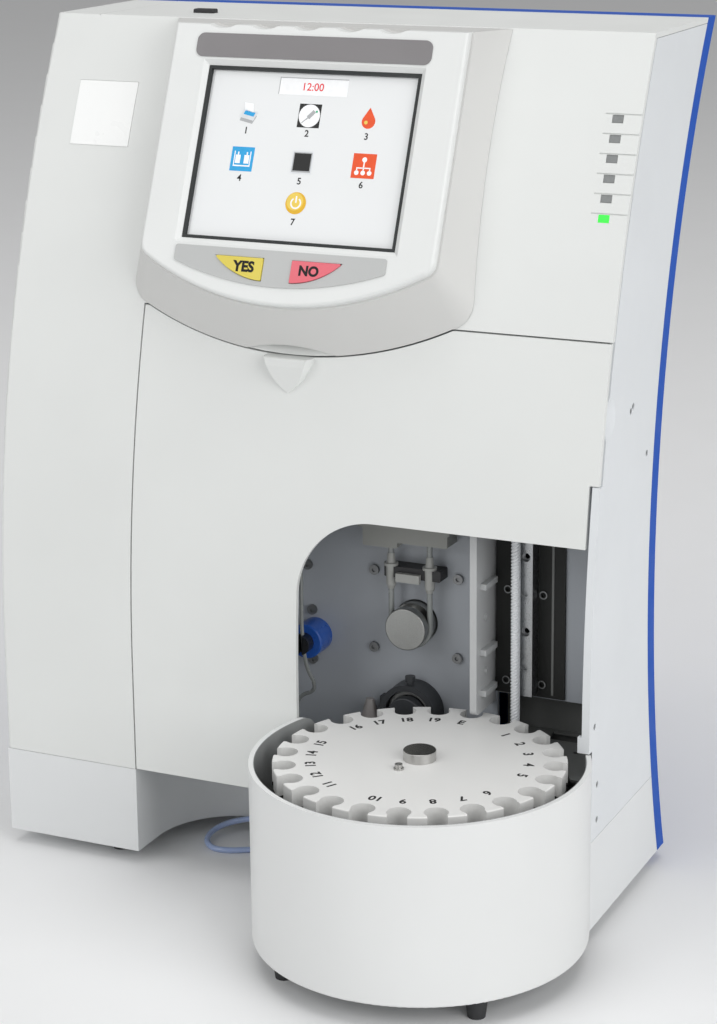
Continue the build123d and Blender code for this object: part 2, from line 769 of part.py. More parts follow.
with BuildPart() as membrane_panel:
    with BuildSketch(bezel_plane(0)):
        with BuildLine():
            Polyline((panel_x - 66.7, 22.3), (panel_x - 66.7, 31.4), (panel_x + 66.7, 31.4),
                     (panel_x + 66.7, 22.3))
            ThreePointArc((panel_x + 66.7, 22.3), (panel_x, 10.2), (panel_x - 66.7, 22.3))
        make_face()
        fillet(vertices(), 1.5)
        for side in (-1, 1):
            key_outline(side, key_gap, mode=Mode.SUBTRACT)
    extrude(amount=membrane_thickness)
membrane_panel.part.label = "membrane_panel"
export_step(membrane_panel.part.moved(to_origin), "parts/membrane_panel.step")

for side, key_name in ((-1, "yes_key"), (1, "no_key")):
    with BuildPart() as key:
        with BuildSketch(bezel_plane(key_depth)):
            key_outline(side, 0)
            fillet(vertices(), 0.6)
        extrude(amount=key_depth + membrane_thickness + key_proud)
    key.part.label = key_name
    export_step(key.part.moved(to_origin), "parts/" + key_name + ".step")

with BuildPart() as name_plate:
    with BuildSketch(Plane.YZ.offset(plate_left + 0.15)):
        front_strip(plate_low + 0.15, plate_high - 0.15, -0.3, 0.3)
    extrude(amount=plate_right - plate_left - 0.3)
name_plate.part.label = "name_plate"
export_step(name_plate.part.moved(to_origin), "parts/name_plate.step")

with BuildPart() as status_lenses:
    with BuildSketch(Plane.YZ.offset(led_x - led_width / 2 + 0.2)):
        for level in led_levels:
            front_strip(level - led_height / 2 + 0.2, level + led_height / 2 - 0.2, 0.3, 6.2)
    extrude(amount=led_width - 0.4)
status_lenses.part.label = "status_lenses"
export_step(status_lenses.part.moved(to_origin), "parts/status_lenses.step")

with BuildPart() as led_board:
    with BuildSketch(led_board_plane()):
        with Locations((-3, 0)):
            Rectangle(22, 76)
    extrude(amount=-1.6)
led_board.part.label = "led_board"
export_step(led_board.part.moved(to_origin), "parts/led_board.step")

with BuildPart() as main_board:
    with BuildSketch(bezel_plane(main_board_depth)):
        with Locations((0, 74)):
            Rectangle(2 * main_board_half, 124)
        with Locations(*main_board_screws):
            Circle(1.6, mode=Mode.SUBTRACT)
    extrude(amount=-1.6)
    with BuildSketch(bezel_plane(main_board_depth + 1.5)):
        for x, v, chip_wide, chip_tall in [(-30, 88, 28, 28), (24, 96, 20, 14), (24, 68, 20, 14),
                                           (-60, 60, 16, 22), (60, 84, 12, 48)]:
            with Locations((x, v)):
                Rectangle(chip_wide, chip_tall)
    extrude(amount=-2.6)
    with BuildSketch(bezel_plane(main_board_depth + 1.5)):
        with Locations((-40, 24), (0, 24), (40, 24)):
            Rectangle(30, 8)
    extrude(amount=-9)
main_board.part.label = "main_board"
export_step(main_board.part.moved(to_origin), "parts/main_board.step")

with BuildPart() as cover_catch:
    block(catch_x - catch_width / 2, catch_x + catch_width / 2, catch_y - 3, catch_y + 3,
          height - wall - 4, height + 2.5)
    fillet(cover_catch.faces().sort_by(Axis.Z)[-1].edges(), 0.8)
    block(catch_x - catch_width / 2 - 3, catch_x + catch_width / 2 + 3, catch_y - 6, catch_y + 6,
          height - wall - 4, height - wall)
cover_catch.part.label = "cover_catch"
export_step(cover_catch.part.moved(to_origin), "parts/cover_catch.step")

bowl_top = plinth_top - 0.5
drum_floor = 3.0
flange_reach = 10.0
barb_out = (math.cos(math.radians(barb_angle)), math.sin(math.radians(barb_angle)))
barb_reach = 6.6
with BuildPart() as drum_shell:
    post(drum_x, drum_y, drum_bottom, drum_rim, drum_radius)
    post(drum_x, drum_y, drum_bottom + drum_floor, drum_rim + 1, drum_radius - drum_wall, Mode.SUBTRACT)
    fillet(drum_shell.edges().filter_by(GeomType.CIRCLE).sort_by(Axis.Z)[0], 1.5)
    # Above the plinth the wall stops where it meets the cabinet
    with BuildSketch(Plane.XY.offset(bowl_top)):
        with BuildLine():
            start = math.radians(drum_start)
            end = math.radians(drum_end - 360)
            far = 3 * drum_radius
            Polyline((drum_x, drum_y), (drum_x + far * math.cos(end), drum_y + far * math.sin(end)),
                     (drum_x, drum_y + far), (drum_x + far * math.cos(start),
                                              drum_y + far * math.sin(start)), close=True)
        make_face()
    extrude(amount=100, mode=Mode.SUBTRACT)
    # Lug that hangs the bowl from the chassis floor
    with BuildSketch(Plane.XY.offset(bowl_top - 2.5)):
        with Locations((drum_x, drum_y)):
            Circle(drum_radius + flange_reach)
            Circle(drum_radius - 1, mode=Mode.SUBTRACT)
        with Locations((drum_x, drum_y + drum_radius)):
            Rectangle(90, 44, mode=Mode.INTERSECT)
    extrude(amount=3.0)
    # Rounded upper corner at the left end of the wall
    end_y = drum_y + drum_radius * math.sin(start)
    with BuildSketch(Plane.YZ):
        with Locations((end_y - rim_round / 2 + 1, drum_rim - rim_round / 2 + 1)):
            Rectangle(rim_round + 2, rim_round + 2)
        with Locations((end_y - rim_round, drum_rim - rim_round)):
            Circle(rim_round, mode=Mode.SUBTRACT)
    extrude(amount=drum_x - drum_radius + 25, mode=Mode.SUBTRACT)
    # Hose barb low on the wall
    barb_plane = Plane((drum_x + (drum_radius - 1) * barb_out[0], drum_y + (drum_radius - 1) * barb_out[1],
                        barb_z), x_dir=(0, 0, 1), z_dir=(barb_out[0], barb_out[1], 0))
    with BuildSketch(barb_plane):
        Circle(4.5)
    extrude(amount=3)
    with BuildSketch(barb_plane):
        Circle(barb_radius)
    extrude(amount=barb_reach + 1)
drum_shell.part.label = "drum_shell"
export_step(drum_shell.part.moved(to_origin), "parts/drum_shell.step")

with BuildPart() as drum_feet:
    for angle in (45, 135, 225, 315):
        turn = math.radians(angle)
        with Locations((drum_x + foot_circle * math.cos(turn), drum_y + foot_circle * math.sin(turn), 0)):
            Cone(foot_radius, foot_top_radius, drum_bottom, align=(Align.CENTER, Align.CENTER, Align.MIN))
drum_feet.part.label = "drum_feet"
export_step(drum_feet.part.moved(to_origin), "parts/drum_feet.step")

disc_low = disc_top - disc_thickness
with BuildPart() as sample_disc:
    post(drum_x, drum_y, disc_low, disc_top, disc_radius)
    post(drum_x, drum_y, disc_low - 1, disc_top + 1, spigot_radius + 0.1, Mode.SUBTRACT)
    fillet(sample_disc.edges().filter_by(GeomType.CIRCLE).group_by(Axis.Z)[-1].sort_by(
        lambda edge: edge.radius)[-1], 0.8)
    with BuildSketch(Plane.XY.offset(disc_low - 1)):
        with Locations((drum_x, drum_y)):
            with PolarLocations(pocket_circle, notch_count):
                Circle(tube_pocket / 2)
            with PolarLocations(disc_radius, notch_count):
                Rectangle(2 * (disc_radius - pocket_circle), notch_mouth)
    extrude(amount=disc_thickness + 2, mode=Mode.SUBTRACT)
sample_disc.part.label = "sample_disc"
export_step(sample_disc.part.moved(to_origin), "parts/sample_disc.step")

with BuildPart() as disc_column:
    post(drum_x, drum_y, tube_rest_top - tube_rest_thickness, tube_rest_top, disc_radius)
    post(drum_x, drum_y, tube_rest_top, disc_low, column_radius)
    post(drum_x, drum_y, disc_low, disc_top - 0.5, spigot_radius)
    post(drum_x, drum_y, 0, disc_top - 5, shaft_radius + running_clearance, Mode.SUBTRACT)
disc_column.part.label = "disc_column"
export_step(disc_column.part.moved(to_origin), "parts/disc_column.step")

with BuildPart() as disc_hub:
    post(drum_x, drum_y, disc_top, disc_top + hub_height, hub_radius)
    chamfer(disc_hub.edges().group_by(Axis.Z)[-1], 0.35)
    # Small index pin beside the cap
    post(102.2, -60.2, disc_top, disc_top + 1.0, 2.9)
    post(102.2, -60.2, disc_top + 0.5, disc_top + 3.2, 2.2)
disc_hub.part.label = "disc_hub"
export_step(disc_hub.part.moved(to_origin), "parts/disc_hub.step")

with BuildPart() as disc_motor:
    post(drum_x, drum_y, drum_bottom + drum_floor, tube_rest_top - tube_rest_thickness - 2.5,
         disc_motor_radius)
    chamfer(disc_motor.edges().filter_by(GeomType.CIRCLE), 1.0)
    post(drum_x, drum_y, tube_rest_top - tube_rest_thickness - 3, disc_top - 5.5, shaft_radius)
disc_motor.part.label = "disc_motor"
export_step(disc_motor.part.moved(to_origin), "parts/disc_motor.step")

# Sampling bay
bay_left = door_left + 2.9
bay_right = half_width - wall - 1.5
bay_gap_left = divider_x + divider_thickness + 1.4
bay_gap_top = 125.0
bay_floor_top = 100.0
tube_way = 86.0
bearing_top = bay_floor_top + 4
journal_radius = 2.0
with BuildPart() as cavity_plate:
    block(bay_left, bay_right, plate_y, plate_back, floor_top, bay_top)
    # Side and top returns
    block(bay_left, bay_left + plate_thickness, hinge_y + 12, plate_back, floor_top, bay_top)
    block(bay_left, bay_right, plate_y - 12, plate_back, bay_top - plate_thickness, bay_top)
    cut_box(bay_gap_left, bay_right + 1, plate_y - 1, plate_back + 1, floor_top - 1, bay_gap_top)
    for x, z in ((pump_1_x, pump_1_z), (pump_2_x, pump_2_z)):
        rod(x, z, plate_y - 1, plate_back + 1, pump_hole_radius, Mode.SUBTRACT)
    with BuildSketch(Plane.YZ.offset(-110)):
        side_outline(plinth_bottom, height, wall + 0.5, 0)
    extrude(amount=220 + bay_right, mode=Mode.INTERSECT)
cavity_plate.part.label = "cavity_plate"
export_step(cavity_plate.part.moved(to_origin), "parts/cavity_plate.step")

plate_screw_points = [(-9.2, 188.9), (-6.6, 160.6), (-6.5, 129.2), (34.5, 142.5), (88.6, 142.4),
                      (89.2, 191.6), (35.0, 191.1), (96.0, 232.0),
                      (-80.0, rail_high), (90.0, rail_high), (-80.0, 120.0)]
with BuildPart() as plate_screws:
    for x, z in plate_screw_points:
        rod(x, z, plate_y - 2, plate_y, 3.1)
        rod(x, z, plate_y - 2.1, plate_y - 1, 1.3, Mode.SUBTRACT)
plate_screws.part.label = "plate_screws"
export_step(plate_screws.part.moved(to_origin), "parts/plate_screws.step")

with BuildPart() as bay_floor:
    block(bay_gap_left, bay_right, 4, 76, bay_floor_top - 1.5, bay_floor_top)
    block(bay_gap_left, bay_right, 74.5, 76, floor_top, bay_gap_top + 6)
    post(drum_x, drum_y, 0, 200, tube_way, Mode.SUBTRACT)
    cut_box(145, 167.5, 58.5, 70.5, 90, 101)
    post(169, 44, 90, 110, 2.2, Mode.SUBTRACT)
    block(bay_right - 1.5, bay_right, 30, 76, floor_top, bay_floor_top)
    # Lower bearing of the lead screw
    block(screw_x - 4.7, screw_x + 4.7, 40.0, 52, bay_floor_top - 1.5, bearing_top)
    post(screw_x, screw_y, bay_floor_top, bearing_top + 1, journal_radius + running_clearance,
         Mode.SUBTRACT)
bay_floor.part.label = "bay_floor"
export_step(bay_floor.part.moved(to_origin), "parts/bay_floor.step")

with BuildPart() as divider_plate:
    block(divider_x, divider_x + divider_thickness, divider_front, plate_y, divider_low, rail_high)
    fillet(divider_plate.edges().filter_by(Axis.X).sort_by(Axis.Y)[:2], 3)
    for level in (195, 155, 130):
        block(divider_x + 1, divider_x + divider_thickness + 3.5, 34, 52, level, level + 3.5)
    for level in (176, 143):
        with Locations((divider_x + 2, 42, level)):
            Cylinder(2.2, 12, rotation=(0, 90, 0), mode=Mode.SUBTRACT)
divider_plate.part.label = "divider_plate"
export_step(divider_plate.part.moved(to_origin), "parts/divider_plate.step")

rail_plate_front = plate_y - 1.5
rail_middle = rail_left + rail_width / 2
with BuildPart() as rail_plate:
    block(divider_x + divider_thickness + 0.6, rail_plate_right, rail_plate_front, plate_y, bay_gap_top + 1,
          bay_top - 13)
    for x, z in ((121, rail_low + 61), (143, rail_low + 60), (120, rail_low + 5), (142.4, rail_low + 5)):
        rod(x, z, rail_plate_front - 0.8, rail_plate_front, 2.6)
        rod(x, z, rail_plate_front - 0.9, rail_plate_front + 0.8, 1.3, Mode.SUBTRACT)
rail_plate.part.label = "rail_plate"
export_step(rail_plate.part.moved(to_origin), "parts/rail_plate.step")

with BuildPart() as linear_rail:
    block(rail_left, rail_left + rail_width, rail_plate_front - rail_depth, rail_plate_front, rail_low,
          rail_high)
    hole_level = rail_low + rail_hole_first
    screwed = True
    rail_front = rail_plate_front - rail_depth
    while hole_level < rail_high - 6:
        if screwed:
            # A screw head fills this hole to just below the rail's face
            rod(rail_middle, hole_level, rail_front - 1, rail_front + 0.5, 2.7, Mode.SUBTRACT)
            rod(rail_middle, hole_level, rail_front - 1, rail_front + 2, 1.2, Mode.SUBTRACT)
        else:
            rod(rail_middle, hole_level, rail_front - 1, rail_plate_front + 1, 1.6, Mode.SUBTRACT)
            rod(rail_middle, hole_level, rail_front - 1, rail_front + 3, 2.7, Mode.SUBTRACT)
        screwed = not screwed
        hole_level += rail_hole_pitch
linear_rail.part.label = "linear_rail"
export_step(linear_rail.part.moved(to_origin), "parts/linear_rail.step")

with BuildPart() as lead_screw:
    post(screw_x, screw_y, bearing_top + 0.4, rail_high + 1.7, screw_radius)
    post(screw_x, screw_y, bay_floor_top + 0.4, bearing_top + 1, journal_radius)
lead_screw.part.label = "lead_screw"
export_step(lead_screw.part.moved(to_origin), "parts/lead_screw.step")

with BuildPart() as screw_motor:
    block(screw_x - 11, screw_x + 11, screw_y - 10.5, rail_plate_front, rail_high + 2, rail_high + 4)
    post(screw_x, screw_y, rail_high + 3, rail_high + 25, 10)
    chamfer(screw_motor.edges().filter_by(GeomType.CIRCLE).group_by(Axis.Z)[-1], 0.8)
screw_motor.part.label = "screw_motor"
export_step(screw_motor.part.moved(to_origin), "parts/screw_motor.step")

arm_low = carriage_low + 4
arm_high = arm_low + 8
with BuildPart() as carriage:
    block(needle_x - 5, needle_x + 5, needle_y - 4, carriage_front + 1, arm_low, arm_high)
    fillet(carriage.edges().filter_by(Axis.Z).sort_by(Axis.Y)[:2], 3.5)
    block(122.5, 122.5 + carriage_width + 1.5, carriage_front, rail_plate_front - 1.2, carriage_low,
          carriage_low + carriage_height)
    post(needle_x, needle_y, arm_low - 1, arm_high + 1, probe_radius + 0.1, Mode.SUBTRACT)
    cut_box(rail_left - running_clearance, rail_left + rail_width + running_clearance,
            rail_plate_front - rail_depth - running_clearance, plate_y, carriage_low - 1,
            carriage_low + carriage_height + 1)
    post(screw_x, screw_y, carriage_low - 1, carriage_low + carriage_height + 1,
         screw_radius + running_clearance, Mode.SUBTRACT)
carriage.part.label = "carriage"
export_step(carriage.part.moved(to_origin), "parts/carriage.step")

with BuildPart() as sample_probe:
    post(needle_x, needle_y, probe_tip, arm_high + 1, probe_radius)
    post(needle_x, needle_y, arm_high, arm_high + 6, 2.4)
    chamfer(sample_probe.faces().sort_by(Axis.Z)[0].edges(), 0.3)
sample_probe.part.label = "sample_probe"
export_step(sample_probe.part.moved(to_origin), "parts/sample_probe.step")

# Pumps
roller_radius = 3.9
roller_circle = pump_loop_radius - pump_tube_radius - roller_radius - 0.25
with BuildPart() as pump_motors:
    for x, z in ((pump_1_x, pump_1_z), (pump_2_x, pump_2_z)):
        with Locations((x, plate_back + 1.5, z)):
            Box(42, 3, 42)
        rod(x, z, plate_back + 3, plate_back + 3 + pump_motor_length, pump_motor_radius)
        rod(x, z, pump_cap_front + 4, plate_back + 2, pump_shaft_radius)
pump_motors.part.label = "pump_motors"
export_step(pump_motors.part.moved(to_origin), "parts/pump_motors.step")

for x, z, cap_radius, rotor_name in ((pump_1_x, pump_1_z, pump_cap_radius, "pump_rotor"),
                                     (pump_2_x, pump_2_z, pump_cap_radius - 1.5, "waste_rotor")):
    with BuildPart() as rotor:
        rod(x, z, pump_cap_front, pump_tube_y - 3.2, cap_radius)
        fillet(rotor.faces().sort_by(Axis.Y)[0].edges(), 0.8)
        rod(x, z, pump_tube_y + 3.2, plate_y + 1, cap_radius)
        rod(x, z, pump_cap_front + 3, plate_y, pump_shaft_radius + 1)
        # Rollers between the two flanges
        for step in range(3):
            turn = math.radians(90 + 120 * step)
            rod(x + roller_circle * math.cos(turn), z + roller_circle * math.sin(turn),
                pump_tube_y - 3.3, pump_tube_y + 3.3, roller_radius)
        rod(x, z, pump_cap_front + 2.5, plate_back + 2, pump_shaft_radius + running_clearance, Mode.SUBTRACT)
    rotor.part.label = rotor_name
    export_step(rotor.part.moved(to_origin), "parts/" + rotor_name + ".step")

tube_left = pump_1_x - pump_loop_radius
tube_right = pump_1_x + pump_loop_radius
ferrule_radius = 3.0
ferrule_flange_radius = 4.3
clamp_low = 191.5
clamp_high = 198.2
clamp_front = 47.0
with BuildPart() as pump_tube:
    with BuildLine(Plane((0, pump_tube_y, 0), x_dir=(1, 0, 0), z_dir=(0, -1, 0))) as loop:
        Line((tube_left, valve_block_low - 0.3), (tube_left, pump_1_z))
        ThreePointArc((tube_left, pump_1_z), (pump_1_x, pump_1_z - pump_loop_radius),
                      (tube_right, pump_1_z))
        Line((tube_right, pump_1_z), (tube_right, valve_block_low - 0.3))
    with BuildSketch(Plane((tube_left, pump_tube_y, valve_block_low - 0.3))):
        Circle(pump_tube_radius)
    sweep(path=loop.wire())
pump_tube.part.label = "pump_tube"
export_step(pump_tube.part.moved(to_origin), "parts/pump_tube.step")

with BuildPart() as waste_tube:
    left = pump_2_x - pump_loop_radius
    right = pump_2_x + pump_loop_radius
    with BuildLine(Plane((0, pump_tube_y, 0), x_dir=(1, 0, 0), z_dir=(0, -1, 0))) as loop:
        Line((left, floor_top + 6.3), (left, pump_2_z))
        ThreePointArc((left, pump_2_z), (pump_2_x, pump_2_z + pump_loop_radius), (right, pump_2_z))
        Line((right, pump_2_z), (right, floor_top + 6.3))
    with BuildSketch(Plane((left, pump_tube_y, floor_top + 6.3))):
        Circle(pump_tube_radius)
    sweep(path=loop.wire())
waste_tube.part.label = "waste_tube"
export_step(waste_tube.part.moved(to_origin), "parts/waste_tube.step")

drain_x = -14.0
drain_y = 50.0
with BuildPart() as drain_fittings:
    for x in (pump_2_x - pump_loop_radius, pump_2_x + pump_loop_radius):
        post(x, pump_tube_y, floor_top, floor_top + 12, 4)
        post(x, pump_tube_y, floor_top + 6, floor_top + 13, pump_tube_radius + 0.15, Mode.SUBTRACT)
    with BuildSketch(Plane.XY):
        with Locations((drum_x, drum_y)):
            Circle(drum_radius + 4)
    extrude(amount=200, mode=Mode.SUBTRACT)
    post(drain_x, drain_y, floor_top, floor_top + 4, 6)
    post(drain_x, drain_y, floor_top, floor_top + 12, 4)
    post(drain_x, drain_y, floor_top + 6, floor_top + 13, sample_tube_radius + 0.15, Mode.SUBTRACT)
drain_fittings.part.label = "drain_fittings"
export_step(drain_fittings.part.moved(to_origin), "parts/drain_fittings.step")

with BuildPart() as tube_clamp:
    block(46, 82, clamp_front, plate_y, clamp_low, clamp_high)
    fillet(tube_clamp.edges().filter_by(Axis.Y), 0.8)
    for x in (tube_left, tube_right):
        post(x, pump_tube_y, clamp_low - 1, clamp_high + 1, ferrule_radius + 0.1, Mode.SUBTRACT)
tube_clamp.part.label = "tube_clamp"
export_step(tube_clamp.part.moved(to_origin), "parts/tube_clamp.step")

with BuildPart() as tube_ferrules:
    for x in (tube_left, tube_right):
        post(x, pump_tube_y, clamp_low - 5, clamp_high, ferrule_radius)
        with Locations((x, pump_tube_y, clamp_low - 5)):
            Cone(ferrule_radius - 1.0, ferrule_radius, 2.6, align=(Align.CENTER, Align.CENTER, Align.MAX))
        # Flange on the clamp, and the nozzle above it
        post(x, pump_tube_y, clamp_high, clamp_high + 1.6, ferrule_flange_radius)
        with Locations((x, pump_tube_y, clamp_high + 1.6)):
            Cone(2.7, 2.05, 6, align=(Align.CENTER, Align.CENTER, Align.MIN))
        post(x, pump_tube_y, clamp_low - 14, clamp_high + 9, pump_tube_radius + 0.15, Mode.SUBTRACT)
    # Latch on the clamp's front, between the ferrules
    block(54.5, 69.5, clamp_front - 3, clamp_front, clamp_low - 1.8, clamp_high - 3.4)
tube_ferrules.part.label = "tube_ferrules"
export_step(tube_ferrules.part.moved(to_origin), "parts/tube_ferrules.step")

with BuildPart() as valve_block:
    block(34, 88, 43, plate_y, valve_block_low, valve_block_low + 8)
    block(32, 90, 41, plate_y, valve_block_low + 8, valve_block_low + 32)
    # Lower part at the left, with a bore for the pump tube
    block(34, 56, 43, plate_y, valve_block_low - 3.5, valve_block_low + 1)
    fillet(valve_block.edges().filter_by(Axis.Y), 0.9)
    post(tube_left, pump_tube_y, valve_block_low - 4, valve_block_low, pump_tube_radius + 0.2, Mode.SUBTRACT)
    for x in (38, 84):
        rod(x, valve_block_low + 20, 40, 43, 2.4, Mode.SUBTRACT)
valve_block.part.label = "valve_block"
export_step(valve_block.part.moved(to_origin), "parts/valve_block.step")

arch_inner = pump_loop_radius + pump_tube_radius + 0.3
with BuildPart() as pump_arch:
    rod(pump_2_x, pump_2_z, 44, plate_y, pump_2_radius)
    rod(pump_2_x, pump_2_z, 43, plate_y + 1, arch_inner, Mode.SUBTRACT)
    cut_box(0, 150, 40, 60, 0, pump_2_z)
    for side in (-1, 1):
        block(pump_2_x + side * (arch_inner + pump_2_radius) / 2 - (pump_2_radius - arch_inner) / 2,
              pump_2_x + side * (arch_inner + pump_2_radius) / 2 + (pump_2_radius - arch_inner) / 2,
              44, plate_y, pump_2_z - 14, pump_2_z)
    # Lug beside the wash cup
    block(40.2, 46, 52, plate_y, pump_2_z - 3.5, pump_2_z + 6)
    post(pump_2_x, 49, pump_2_z + pump_2_radius - 0.6, pump_2_z + pump_2_radius + 4, 2.2)
    post(pump_2_x, 49, pump_2_z + pump_2_radius + 1.6, pump_2_z + pump_2_radius + 4.6, 3.1)
pump_arch.part.label = "pump_arch"
export_step(pump_arch.part.moved(to_origin), "parts/pump_arch.step")

valve_x = -4.5
valve_z = 145.0
with BuildPart() as pinch_valve:
    rod(valve_x, valve_z, 42, plate_y, 10.7)
    fillet(pinch_valve.faces().sort_by(Axis.Y)[0].edges(), 1.0)
    # Nose with the slot that holds the sample tube
    rod(valve_x, valve_z, 34.5, 42.5, 6.0)
    cut_box(valve_x - sample_tube_radius - 0.2, valve_x + sample_tube_radius + 0.2, 30,
            sample_tube_y + sample_tube_radius + 0.2, valve_z - 8, valve_z + 8)
pinch_valve.part.label = "pinch_valve"
export_step(pinch_valve.part.moved(to_origin), "parts/pinch_valve.step")

holder_low = 232.0
electrode_count = 5
electrode_pitch = 15.0
electrode_first = -76.0
with BuildPart() as electrode_holder:
    holder_left = electrode_first - 10
    holder_right = 6.0
    block(holder_left, holder_right, 30, plate_y, holder_low, holder_low + 5)
    block(holder_left, holder_right, 54, plate_y, holder_low, holder_low + 46)
    block(holder_left, holder_left + 3, 30, plate_y, holder_low, holder_low + 30)
    block(holder_right - 9, holder_right, 30, plate_y, holder_low, holder_low + 30)
    post(valve_x, sample_tube_y, holder_low - 1, holder_low + 8, sample_tube_radius + 0.2, Mode.SUBTRACT)
electrode_holder.part.label = "electrode_holder"
export_step(electrode_holder.part.moved(to_origin), "parts/electrode_holder.step")

with BuildPart() as electrodes:
    for step in range(electrode_count):
        x = electrode_first + electrode_pitch * step
        block(x - 7, x + 7, 32, 53.7, holder_low + 5, holder_low + 31)
        post(x, 43, holder_low + 30, holder_low + 42, 5)
        post(x, 43, holder_low + 41, holder_low + 46, 3)
electrodes.part.label = "electrodes"
export_step(electrodes.part.moved(to_origin), "parts/electrodes.step")

with BuildPart() as reagent_pack:
    block(-76, -22, 20, 56, floor_top, floor_top + 140)
    fillet(reagent_pack.edges(), 3)
    for x in (-66, -49, -32):
        post(x, 38, floor_top + 139, floor_top + 152, 7)
        post(x, 38, floor_top + 151, floor_top + 156, 2.5)
reagent_pack.part.label = "reagent_pack"
export_step(reagent_pack.part.moved(to_origin), "parts/reagent_pack.step")

sample_route = [(valve_x, sample_tube_y, holder_low + 4.7), (valve_x, sample_tube_y, 134),
                (3.0, 45, 114), (drain_x, drain_y - 1, 107), (drain_x, drain_y, 90),
                (drain_x, drain_y, floor_top + 6.3)]
with BuildPart() as sample_tube:
    with BuildLine() as path:
        FilletPolyline(*sample_route, radius=4)
    with BuildSketch(Plane(sample_route[0], x_dir=(1, 0, 0), z_dir=(0, 0, -1))):
        Circle(sample_tube_radius)
    sweep(path=path.wire())
sample_tube.part.label = "sample_tube"
export_step(sample_tube.part.moved(to_origin), "parts/sample_tube.step")

cup_x = 35.0
cup_y = 49.0
cup_level = floor_top + 31.0
cup_radius = 7.0
with BuildPart() as wash_cup:
    post(cup_x, cup_y, floor_top, floor_top + 3, 7)
    post(cup_x, cup_y, floor_top + 2, cup_level, 3.5)
    with Locations((cup_x, cup_y, cup_level)):
        Cone(cup_radius, 2.4, 16.3, align=(Align.CENTER, Align.CENTER, Align.MIN))
    post(cup_x, cup_y, cup_level - 4, cup_level + 0.5, cup_radius)
wash_cup.part.label = "wash_cup"
export_step(wash_cup.part.moved(to_origin), "parts/wash_cup.step")

supply_left = 9.0 - half_width
with BuildPart() as power_supply:
    block(supply_left, supply_left + 75, 22, 98, floor_top, floor_top + 130)
    for step in range(8):
        cut_box(supply_left - 1, supply_left + 76, 20, 23.5, floor_top + 18 + 12 * step,
                floor_top + 22 + 12 * step)
    block(supply_left + 13, supply_left + 61, 40, 80, floor_top + 129, floor_top + 140)
power_supply.part.label = "power_supply"
export_step(power_supply.part.moved(to_origin), "parts/power_supply.step")

with BuildPart() as door_catch:
    catch_front = front_y(bay_top) + door_thickness + 0.6
    block(140, 160, catch_front + 1.5, plate_y - 8, bay_top - 14, bay_top - plate_thickness)
    block(143, 157, catch_front, catch_front + 2, bay_top - 10, bay_top - 4)
door_catch.part.label = "door_catch"
export_step(door_catch.part.moved(to_origin), "parts/door_catch.step")

with BuildPart() as power_inlet:
    with BuildSketch(rear_plane((inlet_x + rocker_x) / 2, inlet_z, 0.4)):
        RectangleRounded(inlet_x - rocker_x + 42, inlet_height + 3, 3)
    extrude(amount=inlet_flange)
    with BuildSketch(rear_plane(inlet_x, inlet_z, 0.5)):
        Rectangle(inlet_width - 9, inlet_height - 5)
    extrude(amount=-16)
    with BuildSketch(rear_plane(inlet_x, inlet_z, inlet_flange + 0.4)):
        Rectangle(26, 18)
        chamfer(vertices().sort_by(Axis.Y)[-2:], 4)
    extrude(amount=-15, mode=Mode.SUBTRACT)
    for offset_x in (-7, 0, 7):
        with BuildSketch(rear_plane(inlet_x + offset_x, inlet_z, -13)):
            Rectangle(2, 4)
        extrude(amount=11)
    # Frame of the power switch
    with BuildSketch(rear_plane(rocker_x, inlet_z, 0.5)):
        Rectangle(rocker_width + 2 * rocker_frame, rocker_height + 2 * rocker_frame)
    extrude(amount=-15)
    with BuildSketch(rear_plane(rocker_x, inlet_z, inlet_flange + 1)):
        Rectangle(rocker_width + 0.5, rocker_height + 0.6)
    extrude(amount=-14, mode=Mode.SUBTRACT)
power_inlet.part.label = "power_inlet"
export_step(power_inlet.part.moved(to_origin), "parts/power_inlet.step")

with BuildPart() as switch_rocker:
    pivot = rear_plane(rocker_x, inlet_z, -rocker_pivot_depth)
    side_plane = Plane(pivot.origin + pivot.x_dir * rocker_width / 2, x_dir=pivot.z_dir,
                       z_dir=pivot.x_dir)
    with BuildSketch(side_plane):
        with BuildLine():
            Polyline((-3, -6), (-3, 6), (5.2, rocker_height / 2 - 1.4), (6.2, rocker_height / 2 - 1.4),
                     (4.0, 0), (6.2, -rocker_height / 2 + 1.4), (5.2, -rocker_height / 2 + 1.4),
                     close=True)
        make_face()
    extrude(amount=-rocker_width)
switch_rocker.part.label = "switch_rocker"
export_step(switch_rocker.part.moved(to_origin), "parts/switch_rocker.step")

barb_tip = drum_radius + barb_reach + 0.4
cord_route = [(elbow_x - 5.3, recess_back - elbow_out, elbow_z), (-35, 68, 17.5), (-52, 67, 13.2),
              (-69.5, 65.5, 8.4), (-78, 57, 5.2), (-78, 45, 3), (-70, 36.5, 1.9), (-58.5, 36.5, 1.9),
              (-43, 45.5, 1.9), (-24, 54, 1.9), (-8, 53.5, 4.5), (4, 46, 12), (16.2, 34.8, 21),
              (drum_x + barb_tip * barb_out[0], drum_y + barb_tip * barb_out[1], barb_z)]


def bend_radii(points):
    """Radius of each bend, 0.45 of the shorter run beside it over the tangent of half its turn."""
    radii = []
    for before, here, after in zip(points, points[1:], points[2:]):
        first = Vector(*here) - Vector(*before)
        second = Vector(*after) - Vector(*here)
        half_turn = math.radians(first.get_angle(second)) / 2
        radii.append(0.45 * min(first.length, second.length) / math.tan(half_turn))
    return radii


